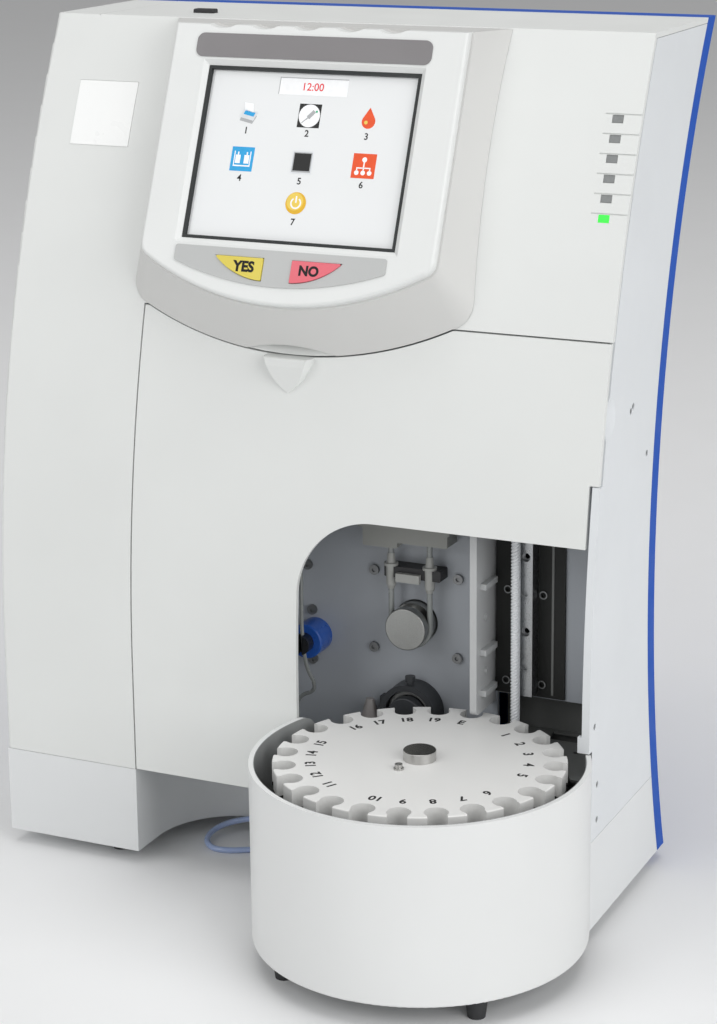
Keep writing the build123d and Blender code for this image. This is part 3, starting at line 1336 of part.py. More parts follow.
cord_radii = bend_radii(cord_route)
with BuildPart() as drain_hose:
    with BuildLine() as cord_path:
        FilletPolyline(*cord_route, radius=cord_radii)
    start_direction = Vector(*cord_route[1]) - Vector(*cord_route[0])
    with BuildSketch(Plane(cord_route[0], z_dir=start_direction)):
        Circle(cord_radius)
    sweep(path=cord_path.wire())
drain_hose.part.label = "drain_hose"
export_step(drain_hose.part.moved(to_origin), "parts/drain_hose.step")
cord_length = cord_path.wire().length
print("hose radii", [round(value, 1) for value in cord_radii], "length", round(cord_length, 1),
      "volume share", round(drain_hose.part.volume / (math.pi * cord_radius ** 2 * cord_length), 4))
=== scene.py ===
"""Looks of the bench electrolyte analyzer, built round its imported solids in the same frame."""
import json
import math

import bmesh
import bpy
from mathutils import Matrix, Vector


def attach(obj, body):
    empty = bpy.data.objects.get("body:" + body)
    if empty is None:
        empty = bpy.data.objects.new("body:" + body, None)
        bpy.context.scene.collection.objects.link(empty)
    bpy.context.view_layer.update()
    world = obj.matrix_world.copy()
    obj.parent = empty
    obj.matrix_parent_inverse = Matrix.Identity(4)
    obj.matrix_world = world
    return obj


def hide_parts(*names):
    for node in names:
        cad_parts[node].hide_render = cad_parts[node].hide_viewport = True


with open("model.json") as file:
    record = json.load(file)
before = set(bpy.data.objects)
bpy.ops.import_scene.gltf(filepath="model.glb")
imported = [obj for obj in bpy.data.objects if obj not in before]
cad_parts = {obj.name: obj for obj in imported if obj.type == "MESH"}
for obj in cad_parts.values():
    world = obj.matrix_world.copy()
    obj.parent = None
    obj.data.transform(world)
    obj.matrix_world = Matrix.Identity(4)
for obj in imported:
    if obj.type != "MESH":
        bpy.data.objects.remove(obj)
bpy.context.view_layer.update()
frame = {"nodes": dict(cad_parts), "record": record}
nodes = frame["nodes"]
MM = 0.001


def at(x, y, z):
    """A place in the source's drawing, in millimetres, as a point of the model, in metres."""
    return Vector((x - 5.3, y - 38.255, z)) * MM


# ---- Camera, at the photograph's viewing angle

photo_height = 1024
focal_pixels = 2533.7
shift_pixels = (-12.7, -64.1)
sensor = 36.0
azimuth = math.radians(24.594)
look_down = math.radians(14.845)
roll = math.radians(-0.532)
camera_place = at(634.17, -1254.97, 648.42)

away = Vector((math.sin(azimuth) * math.cos(look_down), -math.cos(azimuth) * math.cos(look_down),
               math.sin(look_down)))
level_right = Vector((math.cos(azimuth), math.sin(azimuth), 0))
level_up = away.cross(level_right)
camera_right = math.cos(roll) * level_right + math.sin(roll) * level_up
camera_up = away.cross(camera_right)
lens = bpy.data.cameras.new("camera")
lens.sensor_width = sensor
lens.lens = focal_pixels / photo_height * sensor
lens.shift_x = shift_pixels[0] / photo_height
lens.shift_y = shift_pixels[1] / photo_height
lens.clip_start = 0.05
lens.clip_end = 100
camera = bpy.data.objects.new("camera", lens)
bpy.context.scene.collection.objects.link(camera)
stand = Matrix((camera_right, camera_up, away)).transposed().to_4x4()
stand.translation = camera_place
camera.matrix_world = stand
bpy.context.scene.camera = camera
bpy.context.scene.view_settings.view_transform = "Standard"


# ---- Finishes, and where they change on a piece, in metres

drum_x, drum_y = 106.9, -41.8
drum_centre = at(drum_x, drum_y, 0)
# Radius within which the drum's inner wall is painted dull grey, as shade.
drum_inner_shade_radius = 0.0930
# Level below which the disc is painted near black, as shade under its top plate.
disc_shade_level = 0.1062
hub_face_low = 0.12366
lit_lens_high = 0.4175
valve_nose_back = at(0, 41.8, 0).y


class Finish:
    """A material being mixed: its shader, and the patterns that feed it, in metres on the piece."""

    def __init__(self, name, colour, roughness=0.5, metallic=0.0, coat=0.0, gloss=0.5):
        self.material = bpy.data.materials.new(name)
        self.material.use_nodes = True
        self.tree = self.material.node_tree
        self.shader = self.tree.nodes["Principled BSDF"]
        self.place = self.add("ShaderNodeTexCoord").outputs["Object"]
        self.colour = colour
        self.shader.inputs["Base Color"].default_value = (*colour, 1)
        self.shader.inputs["Roughness"].default_value = roughness
        self.shader.inputs["Metallic"].default_value = metallic
        self.shader.inputs["Coat Weight"].default_value = coat
        self.shader.inputs["Coat Roughness"].default_value = 0.15
        self.shader.inputs["Specular IOR Level"].default_value = gloss
        self.material.diffuse_color = (*colour, 1)

    def add(self, kind, **settings):
        node = self.tree.nodes.new(kind)
        for key, value in settings.items():
            setattr(node, key, value)
        return node

    def wire(self, source, target):
        self.tree.links.new(source, target)

    def stretched(self, scale=(1, 1, 1), move=(0, 0, 0)):
        """The piece's own place, scaled or moved before a pattern reads it."""
        mapping = self.add("ShaderNodeMapping")
        mapping.inputs["Scale"].default_value = scale
        mapping.inputs["Location"].default_value = move
        self.wire(self.place, mapping.inputs["Vector"])
        return mapping.outputs["Vector"]

    def noise(self, scale, detail=3.0, place=None):
        """Cloudy noise, with so many clouds to the metre."""
        noise = self.add("ShaderNodeTexNoise")
        noise.inputs["Scale"].default_value = scale
        noise.inputs["Detail"].default_value = detail
        self.wire(place or self.place, noise.inputs["Vector"])
        return noise.outputs["Fac"]

    def spread(self, factor, low, high, start=0.3, end=0.7):
        """A pattern's values brought into a range."""
        spread = self.add("ShaderNodeMapRange")
        spread.inputs["From Min"].default_value = start
        spread.inputs["From Max"].default_value = end
        spread.inputs["To Min"].default_value = low
        spread.inputs["To Max"].default_value = high
        self.wire(factor, spread.inputs["Value"])
        return spread.outputs["Result"]

    def mix(self, factor, first, second):
        """A colour that goes from the first to the second; either may be a pattern's output."""
        mix = self.add("ShaderNodeMix", data_type="RGBA")
        self.wire(factor, mix.inputs[0])
        for socket, value in ((mix.inputs[6], first), (mix.inputs[7], second)):
            if isinstance(value, tuple):
                socket.default_value = (*value, 1)
            else:
                self.wire(value, socket)
        return mix.outputs[2]

    def paint(self, colour):
        self.wire(colour, self.shader.inputs["Base Color"])
        return self

    def clouded(self, share=0.03, scale=9.0):
        """Faint drift in the colour over the piece."""
        light = tuple(min(1.0, c * (1 + share)) for c in self.colour)
        dark = tuple(c * (1 - share) for c in self.colour)
        drift = self.mix(self.spread(self.noise(scale), 0, 1), dark, light)
        return self.paint(drift)

    def rubbed(self, low, high, scale=35.0):
        """Roughness that changes in soft patches."""
        self.wire(self.spread(self.noise(scale), low, high), self.shader.inputs["Roughness"])
        return self

    def bumped(self, height, depth):
        """Relief of a real depth in metres."""
        bump = self.add("ShaderNodeBump")
        bump.inputs["Distance"].default_value = depth
        self.wire(height, bump.inputs["Height"])
        self.wire(bump.outputs["Normal"], self.shader.inputs["Normal"])
        return self

    def along(self, axis):
        """The piece's distance along one axis."""
        split = self.add("ShaderNodeSeparateXYZ")
        self.wire(self.place, split.inputs["Vector"])
        return split.outputs[axis]

    def around(self, centre):
        """The piece's distance from an upright axis."""
        flat = self.stretched((1, 1, 0), move=(-centre[0], -centre[1], 0))
        length = self.add("ShaderNodeVectorMath", operation="LENGTH")
        self.wire(flat, length.inputs[0])
        return length.outputs["Value"]

    def beyond(self, value, limit):
        """One where the value is past a limit, nought elsewhere."""
        step = self.add("ShaderNodeMath", operation="GREATER_THAN")
        self.wire(value, step.inputs[0])
        step.inputs[1].default_value = limit
        return step.outputs["Value"]


def moulding(name, colour, roughness=0.48, grain=1500.0, depth=0.00002, drift=0.02, coat=0.0):
    """Fine-textured moulded plastic."""
    finish = Finish(name, colour, roughness, coat=coat)
    finish.clouded(drift)
    finish.rubbed(roughness - 0.05, roughness + 0.05)
    finish.bumped(finish.noise(grain, 2.0), depth)
    return finish


def powder_coat(name, colour, roughness=0.42, coat=0.15, gloss=0.5):
    """Sheet metal under powder coat, with its orange peel."""
    peel = 420.0
    finish = Finish(name, colour, roughness, coat=coat, gloss=gloss)
    finish.clouded(0.02, 14)
    finish.rubbed(roughness - 0.06, roughness + 0.06, 60)
    finish.bumped(finish.noise(peel, 2.0), 0.00006)
    return finish


def brushed(name, colour, roughness, stretch, fine=900.0):
    """Metal with fine lines across one direction."""
    finish = Finish(name, colour, roughness, metallic=1.0)
    lines = finish.noise(fine, 3.0, finish.stretched(stretch))
    light = tuple(min(1.0, c * 1.12) for c in colour)
    dark = tuple(c * 0.86 for c in colour)
    finish.paint(finish.mix(finish.spread(lines, 0, 1), dark, light))
    finish.wire(finish.spread(lines, roughness - 0.08, roughness + 0.1), finish.shader.inputs["Roughness"])
    finish.bumped(lines, 0.00002)
    return finish


def clear_plastic(name, colour, roughness=0.16, through=0.35):
    """Clear or milky plastic that lets some light in."""
    finish = Finish(name, colour, roughness, coat=0.4)
    finish.shader.inputs["Subsurface Weight"].default_value = through
    finish.shader.inputs["Subsurface Radius"].default_value = (0.004, 0.004, 0.004)
    finish.clouded(0.05, 120)
    finish.rubbed(roughness - 0.05, roughness + 0.08, 200)
    return finish


def circuit_board(name):
    """Green solder mask with a grid of tracks."""
    green = (0.02, 0.13, 0.05)
    finish = Finish(name, green, 0.35, coat=0.3)
    track = finish.add("ShaderNodeTexBrick")
    track.inputs["Scale"].default_value = 160
    track.inputs["Mortar Size"].default_value = 0.035
    track.inputs["Color1"].default_value = (*green, 1)
    track.inputs["Color2"].default_value = (0.025, 0.16, 0.06, 1)
    track.inputs["Mortar"].default_value = (0.06, 0.3, 0.12, 1)
    finish.wire(finish.stretched((1, 0, 1)), track.inputs["Vector"])
    finish.paint(track.outputs["Color"])
    finish.bumped(track.outputs["Fac"], 0.00004)
    return finish


def lit_lenses(name):
    """Smoky lenses, of which the lowest is lit green."""
    green = (0.02, 0.78, 0.04)
    finish = Finish(name, (0.20, 0.21, 0.21), 0.3, coat=0.1)
    above = finish.beyond(finish.along("Z"), lit_lens_high)
    smoke = finish.mix(finish.noise(500), (0.17, 0.18, 0.18), (0.24, 0.25, 0.25))
    finish.paint(finish.mix(above, green, smoke))
    glow = finish.mix(above, green, (0.0, 0.0, 0.0))
    finish.wire(glow, finish.shader.inputs["Emission Color"])
    finish.shader.inputs["Emission Strength"].default_value = 0.55
    return finish


def lit_display(name):
    """Touch glass over a lit, plain white display."""
    finish = Finish(name, (0.73, 0.74, 0.745), 0.12, coat=0.6)
    finish.shader.inputs["Coat Roughness"].default_value = 0.04
    shade = finish.mix(finish.spread(finish.noise(12), 0, 1), (0.72, 0.735, 0.74), (0.75, 0.765, 0.77))
    finish.paint(shade)
    finish.wire(shade, finish.shader.inputs["Emission Color"])
    finish.shader.inputs["Emission Strength"].default_value = 0.07
    finish.rubbed(0.09, 0.16, 25)
    return finish


def two_tone_valve(name):
    """Blue valve body with a black nose."""
    finish = moulding(name, (0.03, 0.14, 0.62), 0.3, drift=0.05, coat=0.3)
    behind = finish.beyond(finish.along("Y"), valve_nose_back)
    tint = finish.mix(finish.noise(60), (0.012, 0.075, 0.36), (0.02, 0.11, 0.48))
    finish.paint(finish.mix(behind, (0.012, 0.013, 0.015), tint))
    return finish


def turned_hub(name, colour, roughness):
    """Turned metal of the disc's hub, with fine rings about its axis and a darkened face."""
    finish = Finish(name, colour, roughness, metallic=1.0)
    rings = finish.add("ShaderNodeTexWave", wave_type="RINGS", rings_direction="Z", wave_profile="SIN")
    rings.inputs["Scale"].default_value = 420
    rings.inputs["Distortion"].default_value = 0.6
    finish.wire(finish.stretched(move=(-drum_centre[0], -drum_centre[1], 0)), rings.inputs["Vector"])
    shade = finish.spread(rings.outputs["Fac"], 0, 1, 0, 1)
    finish.wire(finish.spread(rings.outputs["Fac"], roughness - 0.05, roughness + 0.08, 0, 1),
                finish.shader.inputs["Roughness"])
    finish.bumped(rings.outputs["Fac"], 0.00002)
    side = finish.mix(shade, tuple(c * 0.8 for c in colour), colour)
    face = finish.mix(finish.noise(300), (0.13, 0.128, 0.115), (0.17, 0.168, 0.15))
    finish.paint(finish.mix(finish.beyond(finish.along("Z"), hub_face_low), side, face))
    return finish


def lined_drum(name):
    """White drum, its inner wall painted dull grey as shade."""
    finish = moulding(name, (0.775, 0.785, 0.78), 0.36)
    outside = finish.shader.inputs["Base Color"].links[0].from_socket
    # Painted shade: the drum's inner wall, the same white moulding, is coloured dull grey.
    painted_inner_shade = finish.mix(finish.noise(60), (0.30, 0.31, 0.31), (0.34, 0.35, 0.35))
    finish.paint(finish.mix(finish.beyond(finish.around(drum_centre), drum_inner_shade_radius), painted_inner_shade, outside))
    return finish


def two_layer_disc(name):
    """White notched top plate, and below it the part that holds the tubes, painted near black as shade."""
    finish = moulding(name, (0.80, 0.80, 0.785), 0.42)
    upper = finish.shader.inputs["Base Color"].links[0].from_socket
    # Painted shade: below the top plate the disc is coloured near black.
    painted_low_shade = finish.mix(finish.noise(60), (0.018, 0.018, 0.018), (0.026, 0.026, 0.025))
    finish.paint(finish.mix(finish.beyond(finish.along("Z"), disc_shade_level), painted_low_shade, upper))
    return finish


def rolled_screw(name):
    """Pale rolled steel of the lead screw, greased and dull."""
    finish = Finish(name, (0.84, 0.86, 0.88), 0.34, metallic=0.1, coat=0.2)
    finish.clouded(0.06, 60)
    finish.rubbed(0.28, 0.42, 140)
    finish.bumped(finish.noise(1800, 2.0), 0.00001)
    return finish


finishes = {
    "shell_front": moulding("warm_white_moulding", (0.77, 0.785, 0.77)),
    "shell_side": powder_coat("light_grey_powder_coat", (0.76, 0.785, 0.805)),
    "plinth": moulding("light_grey_moulding", (0.765, 0.78, 0.785)),
    "cover_blue": powder_coat("blue_paint", (0.012, 0.090, 0.47), 0.55, coat=0.0, gloss=0.2),
    # The housing, the same white moulding as its face, is coloured darker all over as painted shade for its
    # lower lip.
    "bezel": moulding("housing_moulding_painted_shade", (0.655, 0.655, 0.64), 0.4),
    "bezel_front": moulding("satin_white_moulding", (0.79, 0.805, 0.795), 0.38),
    "panel_grey": moulding("printed_grey_film", (0.195, 0.185, 0.19), 0.36, 700, 0.00002, 0.05, 0.2),
    "panel_light": moulding("printed_light_grey_film", (0.485, 0.495, 0.49), 0.36, 700, 0.00002, 0.03, 0.2),
    "frame_black": moulding("matt_black_frame", (0.012, 0.016, 0.016), 0.5),
    "screen_glass": lit_display("lit_touch_screen"),
    "module_metal": brushed("plated_module", (0.55, 0.56, 0.57), 0.38, (1, 8, 8)),
    "key_yellow": moulding("yellow_key", (0.73, 0.60, 0.075), 0.4, 900, 0.00002, 0.03, 0.15),
    "key_red": moulding("red_key", (0.78, 0.13, 0.17), 0.4, 900, 0.00002, 0.03, 0.15),
    "plate_white": moulding("blank_white_plate", (0.92, 0.93, 0.92), 0.3, 500, 0.00001, 0.01, 0.3),
    "lens_grey": lit_lenses("status_lens"),
    "board_green": circuit_board("circuit_board"),
    "rubber_dark": moulding("dark_rubber", (0.035, 0.036, 0.038), 0.75, 700, 0.00006, 0.15),
    "catch_black": moulding("matt_black_catch", (0.024, 0.024, 0.026), 0.5),
    "sheet_zinc": brushed("zinc_sheet", (0.52, 0.53, 0.54), 0.42, (1, 1, 6), 500),
    "cavity_grey": powder_coat("blue_grey_powder_coat", (0.39, 0.415, 0.45), 0.45),
    "plate_black": powder_coat("black_powder_coat", (0.022, 0.023, 0.022), 0.6, coat=0.0, gloss=0.3),
    "rail_steel": brushed("ground_steel", (0.42, 0.43, 0.44), 0.3, (8, 8, 1)),
    "screw_steel": rolled_screw("rolled_screw"),
    "carriage_metal": brushed("bead_blasted_aluminium", (0.60, 0.61, 0.61), 0.45, (1, 1, 1), 1800),
    "probe_steel": brushed("polished_needle", (0.74, 0.74, 0.74), 0.2, (6, 6, 1)),
    "motor_metal": brushed("dark_plated_can", (0.30, 0.31, 0.32), 0.38, (6, 1, 6)),
    "rotor_silver": brushed("turned_aluminium", (0.36, 0.365, 0.355), 0.34, (5, 1, 5)),
    "pump_dark": moulding("dark_grey_moulding", (0.035, 0.038, 0.042), 0.42, drift=0.1),
    "tube_grey": clear_plastic("soft_grey_tube", (0.27, 0.275, 0.27), 0.35),
    "tube_clear": clear_plastic("soft_clear_tube", (0.27, 0.285, 0.28), 0.22),
    "hose_blue": clear_plastic("soft_blue_hose", (0.40, 0.50, 0.76), 0.3),
    "ferrule_white": clear_plastic("natural_white_plastic", (0.34, 0.345, 0.33), 0.35, 0.15),
    "block_white": moulding("machined_natural_plastic", (0.27, 0.275, 0.26), 0.45, 800, 0.00004),
    "valve_blue": two_tone_valve("blue_and_black_valve"),
    "cup_pink": moulding("satin_warm_grey", (0.27, 0.255, 0.25), 0.4),
    "electrode_clear": clear_plastic("cast_clear_plastic", (0.60, 0.66, 0.72), 0.12, 0.5),
    "pack_white": moulding("blank_carton", (0.74, 0.75, 0.76), 0.6, 260, 0.00005, 0.03),
    "drum_white": lined_drum("satin_drum_moulding"),
    "disc_white": two_layer_disc("matt_disc_moulding"),
    "hub_steel": turned_hub("turned_steel", (0.55, 0.545, 0.53), 0.30),
    "screw_dark": brushed("blackened_steel", (0.26, 0.265, 0.27), 0.4, (4, 4, 4)),
    "inlet_black": moulding("black_inlet_moulding", (0.014, 0.014, 0.015), 0.28, drift=0.08, coat=0.2),
    "divider_white": moulding("satin_divider", (0.54, 0.55, 0.555), 0.42),
}
for part in frame["record"]["subparts"]:
    piece = nodes[part["node"]]
    piece.data.materials.clear()
    piece.data.materials.append(finishes[part["material_slot"]].material)
grey_black = powder_coat("grey_black_powder_coat", (0.16, 0.165, 0.16), 0.5).material
nodes["bay_floor"].data.materials[0] = grey_black
print_black = moulding("black_print", (0.008, 0.008, 0.008), 0.7).material


# ---- Helpers for new pieces

def shown(name, mesh, slot, body, material=None):
    """A mesh with its place in it, made into a piece that rides on a body."""
    piece = bpy.data.objects.new(name, mesh)
    bpy.context.scene.collection.objects.link(piece)
    mesh.materials.append(material or finishes[slot].material)
    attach(piece, body)
    return piece


def finished_mesh(shape, name):
    """A bmesh with its doubles merged and its faces turned outwards, written to a mesh."""
    bmesh.ops.remove_doubles(shape, verts=shape.verts, dist=1e-6)
    bmesh.ops.recalc_face_normals(shape, faces=shape.faces)
    mesh = bpy.data.meshes.new(name)
    shape.to_mesh(mesh)
    shape.free()
    return mesh


def tube(name, points, radius, slot, body, *replaced):
    """A round tube along the one smooth line that a route's points draw, in millimetres."""
    line = bpy.data.curves.new(name, "CURVE")
    line.dimensions = "3D"
    spline = line.splines.new("NURBS")
    spline.points.add(len(points) - 1)
    for point, place in zip(spline.points, points):
        point.co = (*at(*place), 1)
    spline.order_u = 3
    spline.use_endpoint_u = True
    spline.resolution_u = 16
    line.bevel_depth = radius * MM
    line.bevel_resolution = 5
    line.use_fill_caps = True
    piece = bpy.data.objects.new(name, line)
    bpy.context.scene.collection.objects.link(piece)
    line.materials.append(finishes[slot].material)
    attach(piece, body)
    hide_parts(*replaced)
    return piece


# ---- Drain hose and tubing

hose_route = [(-17.3, 68, 20), (-35, 68, 17.5), (-52, 67, 13.2), (-69.5, 65.5, 8.4), (-78, 57, 5.2),
              (-78, 45, 3), (-70, 36.5, 1.9), (-58.5, 36.5, 1.9), (-43, 45.5, 1.9), (-24, 54, 1.9),
              (-8, 53.5, 4.5), (4, 46, 12), (16.2, 34.8, 21), (28.23, 24.21, 24)]
hose_radius = 1.8
hose = tube("hose", hose_route, hose_radius, "hose_blue", "cabinet", "drain_hose")

pump_tube_radius = 1.7
pump_tube_depth = 49.0
loop_radius = 12.4
half_step = math.radians(22.5)
loop_corner = loop_radius / math.cos(half_step)
corner_turns = (202.5, 247.5, 292.5, 337.5)


def looped(x, level, far_level, side):
    """Route of a pump tube: down or up one leg, round the rollers, and back along the other."""
    left, right = x - loop_radius, x + loop_radius
    bend_start = level + side * loop_radius * math.tan(half_step)
    route = [(left, pump_tube_depth, far_level), (left, pump_tube_depth, bend_start)]
    for turn in map(math.radians, corner_turns):
        route.append((x + loop_corner * math.cos(turn), pump_tube_depth,
                      level + side * loop_corner * math.sin(turn)))
    return route + [(right, pump_tube_depth, bend_start), (right, pump_tube_depth, far_level)]


tube("pump_tubing", looped(62.0, 162.0, far_level=213.7, side=1), pump_tube_radius,
     "tube_clear", "cabinet", "pump_tube")
tube("waste_tubing", looped(61.5, 107.5, far_level=71.3, side=-1), pump_tube_radius,
     "tube_grey", "cabinet", "waste_tube")
sample_tube_radius = 1.2
sample_route = [(-4.5, 38, 236.7), (-4.5, 38, 190), (-4.5, 38, 134), (3, 45, 114), (-14, 49, 107),
                (-14, 50, 90), (-14, 50, 71.3)]
tube("sample_tubing", sample_route, sample_tube_radius, "tube_clear", "cabinet", "sample_tube")


# ---- Lead screw with its thread, in millimetres

screw_x, screw_y = 131.2, 42.0
thread_low, thread_high = 104.4, 301.7
thread_radius, core_radius = 2.8, 2.3
thread_pitch = 2.0
thread_starts = 4
tooth = ((0.0, core_radius), (0.22, core_radius), (0.42, thread_radius), (0.80, thread_radius))
journal_low, journal_radius, journal_chamfer = 100.4, 2.0, 0.3
journal_overlap = 0.6
upright = (0, 0, 1)


def profile_line(shape, corners):
    """Vertices and edges of an open profile beside the screw's axis, given as reaches and levels."""
    verts = [shape.verts.new(at(screw_x + reach, screw_y, level)) for reach, level in corners]
    return verts + [shape.edges.new(pair) for pair in zip(verts, verts[1:])]


def threaded(name, steps=48):
    """The screw, turned from a row of teeth that climbs by its whole lead in a turn."""
    lead = thread_pitch * thread_starts
    shape = bmesh.new()
    corners = []
    level = thread_low - lead
    while level < thread_high + lead:
        corners += [(reach, level + rise * thread_pitch) for rise, reach in tooth]
        level += thread_pitch
    bmesh.ops.spin(shape, geom=profile_line(shape, corners), cent=at(screw_x, screw_y, 0), axis=upright,
                   dvec=(0, 0, lead * MM / steps), angle=2 * math.pi, steps=steps, use_merge=False)
    bmesh.ops.remove_doubles(shape, verts=shape.verts, dist=2e-6)
    for level, normal in ((thread_low, (0, 0, -1)), (thread_high, upright)):
        cut = bmesh.ops.bisect_plane(shape, geom=shape.verts[:] + shape.edges[:] + shape.faces[:],
                                     plane_co=at(screw_x, screw_y, level), plane_no=normal,
                                     clear_outer=True)
        rim = [item for item in cut["geom_cut"] if isinstance(item, bmesh.types.BMEdge)]
        bmesh.ops.contextual_create(shape, geom=rim)
    stem = ((0, journal_low), (journal_radius - journal_chamfer, journal_low),
            (journal_radius, journal_low + journal_chamfer), (journal_radius, thread_low + journal_overlap))
    bmesh.ops.spin(shape, geom=profile_line(shape, stem), cent=at(screw_x, screw_y, 0), axis=upright,
                   angle=2 * math.pi, steps=32, use_merge=True)
    return finished_mesh(shape, name)


screw = shown("threaded_screw", threaded("threaded_screw"), "screw_steel", "screw")
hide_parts("lead_screw")


# ---- Print and lettering

def facing(right, up, origin):
    """Matrix that lays a flat drawing on a surface."""
    right = Vector(right).normalized()
    up = Vector(up).normalized()
    place = Matrix((right, up, right.cross(up))).transposed().to_4x4()
    place.translation = origin
    return place


def printed(name, outlines, place, slot, body, material=None, thick=0.06):
    """Flat shapes drawn in millimetres and laid on a surface, standing a hair proud of it."""
    shape = bmesh.new()
    for outline in outlines:
        shape.faces.new([shape.verts.new((x * MM, y * MM, 0)) for x, y in outline])
    grown = bmesh.ops.extrude_face_region(shape, geom=shape.faces[:])
    front = [item for item in grown["geom"] if isinstance(item, bmesh.types.BMVert)]
    bmesh.ops.translate(shape, verts=front, vec=(0, 0, thick * MM))
    bmesh.ops.transform(shape, matrix=place, verts=shape.verts)
    return shown(name, finished_mesh(shape, name), slot, body, material)


def lettered(name, words, height, place, slot, body, material=None, thick=0.06, bold=0.0):
    """Generic lettering of a height in millimetres, centred on a spot of a surface."""
    text = bpy.data.curves.new(name, "FONT")
    text.body = words
    text.extrude = 0.5
    text.offset = bold
    text.resolution_u = 4
    source = bpy.data.objects.new(name + "_outline", text)
    bpy.context.scene.collection.objects.link(source)
    bpy.context.view_layer.update()
    mesh = bpy.data.meshes.new_from_object(source.evaluated_get(bpy.context.evaluated_depsgraph_get()))
    bpy.data.objects.remove(source)
    corners = [vertex.co for vertex in mesh.vertices]
    low = [min(corner[axis] for corner in corners) for axis in range(3)]
    high = [max(corner[axis] for corner in corners) for axis in range(3)]
    size = height * MM / (high[1] - low[1])
    for vertex in mesh.vertices:
        vertex.co = ((vertex.co.x - (low[0] + high[0]) / 2) * size,
                     (vertex.co.y - (low[1] + high[1]) / 2) * size,
                     thick * MM * (vertex.co.z - low[2]) / (high[2] - low[2]))
    mesh.transform(place)
    mesh.materials.clear()
    return shown(name, mesh, slot, body, material)


def circle(x, y, radius, count=32, start=0.0, sweep=360.0):
    """Corners of a round outline, or of an arc of one."""
    steps = count if sweep == 360.0 else count + 1
    return [(x + radius * math.cos(math.radians(start + sweep * step / count)),
             y + radius * math.sin(math.radians(start + sweep * step / count))) for step in range(steps)]


def band(x, y, radius, width, start=0.0, sweep=360.0):
    """Outlines of a ring or an arc of a given line width, in short pieces."""
    count = 24
    outlines = []
    for step in range(count):
        near = circle(x, y, radius - width / 2, 1, start + sweep * step / count, sweep / count)
        far = circle(x, y, radius + width / 2, 1, start + sweep * step / count, sweep / count)
        outlines.append([near[0], far[0], far[1], near[1]])
    return outlines


def bar(left, right, low, high):
    """Corners of a rectangle."""
    return [(left, low), (right, low), (right, high), (left, high)]


# Numbers round the sample disc, their tops outwards, with four places left bare
disc_marks = {"E": 90, "1": 60, "2": 45, "3": 30, "4": 15, "5": 0, "6": -30, "7": -45, "8": -60, "9": -75,
              "10": -90, "11": -120, "12": -135, "13": -150, "14": -165, "15": 180, "16": 150, "17": 135,
              "18": 120, "19": 105}
disc_top = 118.0
mark_radius = 61.3
mark_height = 6.1
for mark, turn in disc_marks.items():
    outward = Vector((math.cos(math.radians(turn)), math.sin(math.radians(turn)), 0))
    across = outward.cross(Vector(upright))
    spot = at(drum_x, drum_y, disc_top) + outward * mark_radius * MM
    lettered("disc_mark_" + mark, mark, mark_height, facing(across, outward, spot),
             "disc_white", "sampler", print_black, bold=0.03)

face_foot = at(0, 0.8, 359.5)
lean = math.radians(22.77)
face_up = Vector((0, math.sin(lean), math.cos(lean)))
face_out = Vector((0, -math.cos(lean), math.sin(lean)))


def on_face(u, v, out):
    """A spot on the screen housing's face, drawn in millimetres from its foot, as a laying matrix."""
    spot = face_foot + (Vector((u, 0, 0)) + face_up * v + face_out * out) * MM
    return facing((1, 0, 0), face_up, spot)


key_face = 1.5
key_bold = 0.045
lettered("yes_mark", "YES", 6.6, on_face(-22.8, 21.0, key_face), "key_yellow", "yes_button",
         print_black, bold=key_bold)
lettered("no_mark", "NO", 6.2, on_face(18.6, 21.0, key_face), "key_red", "no_button",
         print_black, bold=key_bold)


# ---- What the display shows: plain signs of its own, with numbers for names

def lit(name, colour, glow=0.05):
    """A colour shown by the lit display, under its glass."""
    finish = Finish(name, colour, coat=0.1, gloss=0.2)
    finish.shader.inputs["Coat Roughness"].default_value = 0.04
    finish.shader.inputs["Emission Color"].default_value = (*colour, 1)
    finish.shader.inputs["Emission Strength"].default_value = glow
    finish.clouded(0.04, 250)
    finish.rubbed(0.10, 0.2, 25)
    return finish.material


ink = lit("shown_black", (0.008, 0.008, 0.008))
grey = lit("shown_grey", (0.42, 0.43, 0.44))
pale = lit("shown_pale", (0.70, 0.72, 0.74))
paper = lit("shown_white", (0.88, 0.89, 0.90), 0.12)
sky = lit("shown_blue", (0.022, 0.36, 0.72))
flame = lit("shown_orange", (0.80, 0.085, 0.015))
gold = lit("shown_gold", (0.76, 0.44, 0.02))
amber = lit("shown_amber", (0.83, 0.60, 0.10))
crimson = lit("shown_crimson", (0.78, 0.02, 0.03))
leaf = lit("shown_green", (0.02, 0.42, 0.20))
glass = -4.98
layer = 0.03


def drawn(name, spot, material, outlines, depth=0):
    """Flat shapes on the display, centred on a spot of its face, so many layers above its glass."""
    return printed(name, outlines, on_face(*spot, glass + depth * layer), "screen_glass", "cabinet",
                   material, layer)


title = (0.5, 129.2)
drawn("title_box", title, paper, [bar(-21.5, 21.5, -5, 5)])
drawn("title_box_edge", title, grey, [bar(-22.0, 21.5, 4.7, 5.2), bar(-22.0, -21.5, -5, 5.2)], 1)
lettered("clock_digits", "12:00", 4.6, on_face(*title, glass + layer), "screen_glass", "cabinet", crimson,
         layer, 0.01)

printer = (-38.4, 112.2)
drawn("printer_tray", printer, grey, [[(-5.2, -4.6), (3.2, -6.4), (5.6, -1.6), (-3.6, 0.4)]])
drawn("printer_body", printer, pale, [[(-5.6, -2.6), (3.6, -4.6), (6.0, 0.6), (-3.4, 3.0)]], 1)
drawn("printer_slot", printer, sky, [[(-3.2, -0.8), (3.4, -2.2), (4.4, 0.2), (-2.2, 1.8)]], 2)
drawn("printer_sheet", printer, paper, [[(-2.6, 1.4), (3.2, 0.2), (2.2, 5.6), (-3.4, 6.2)]], 2)

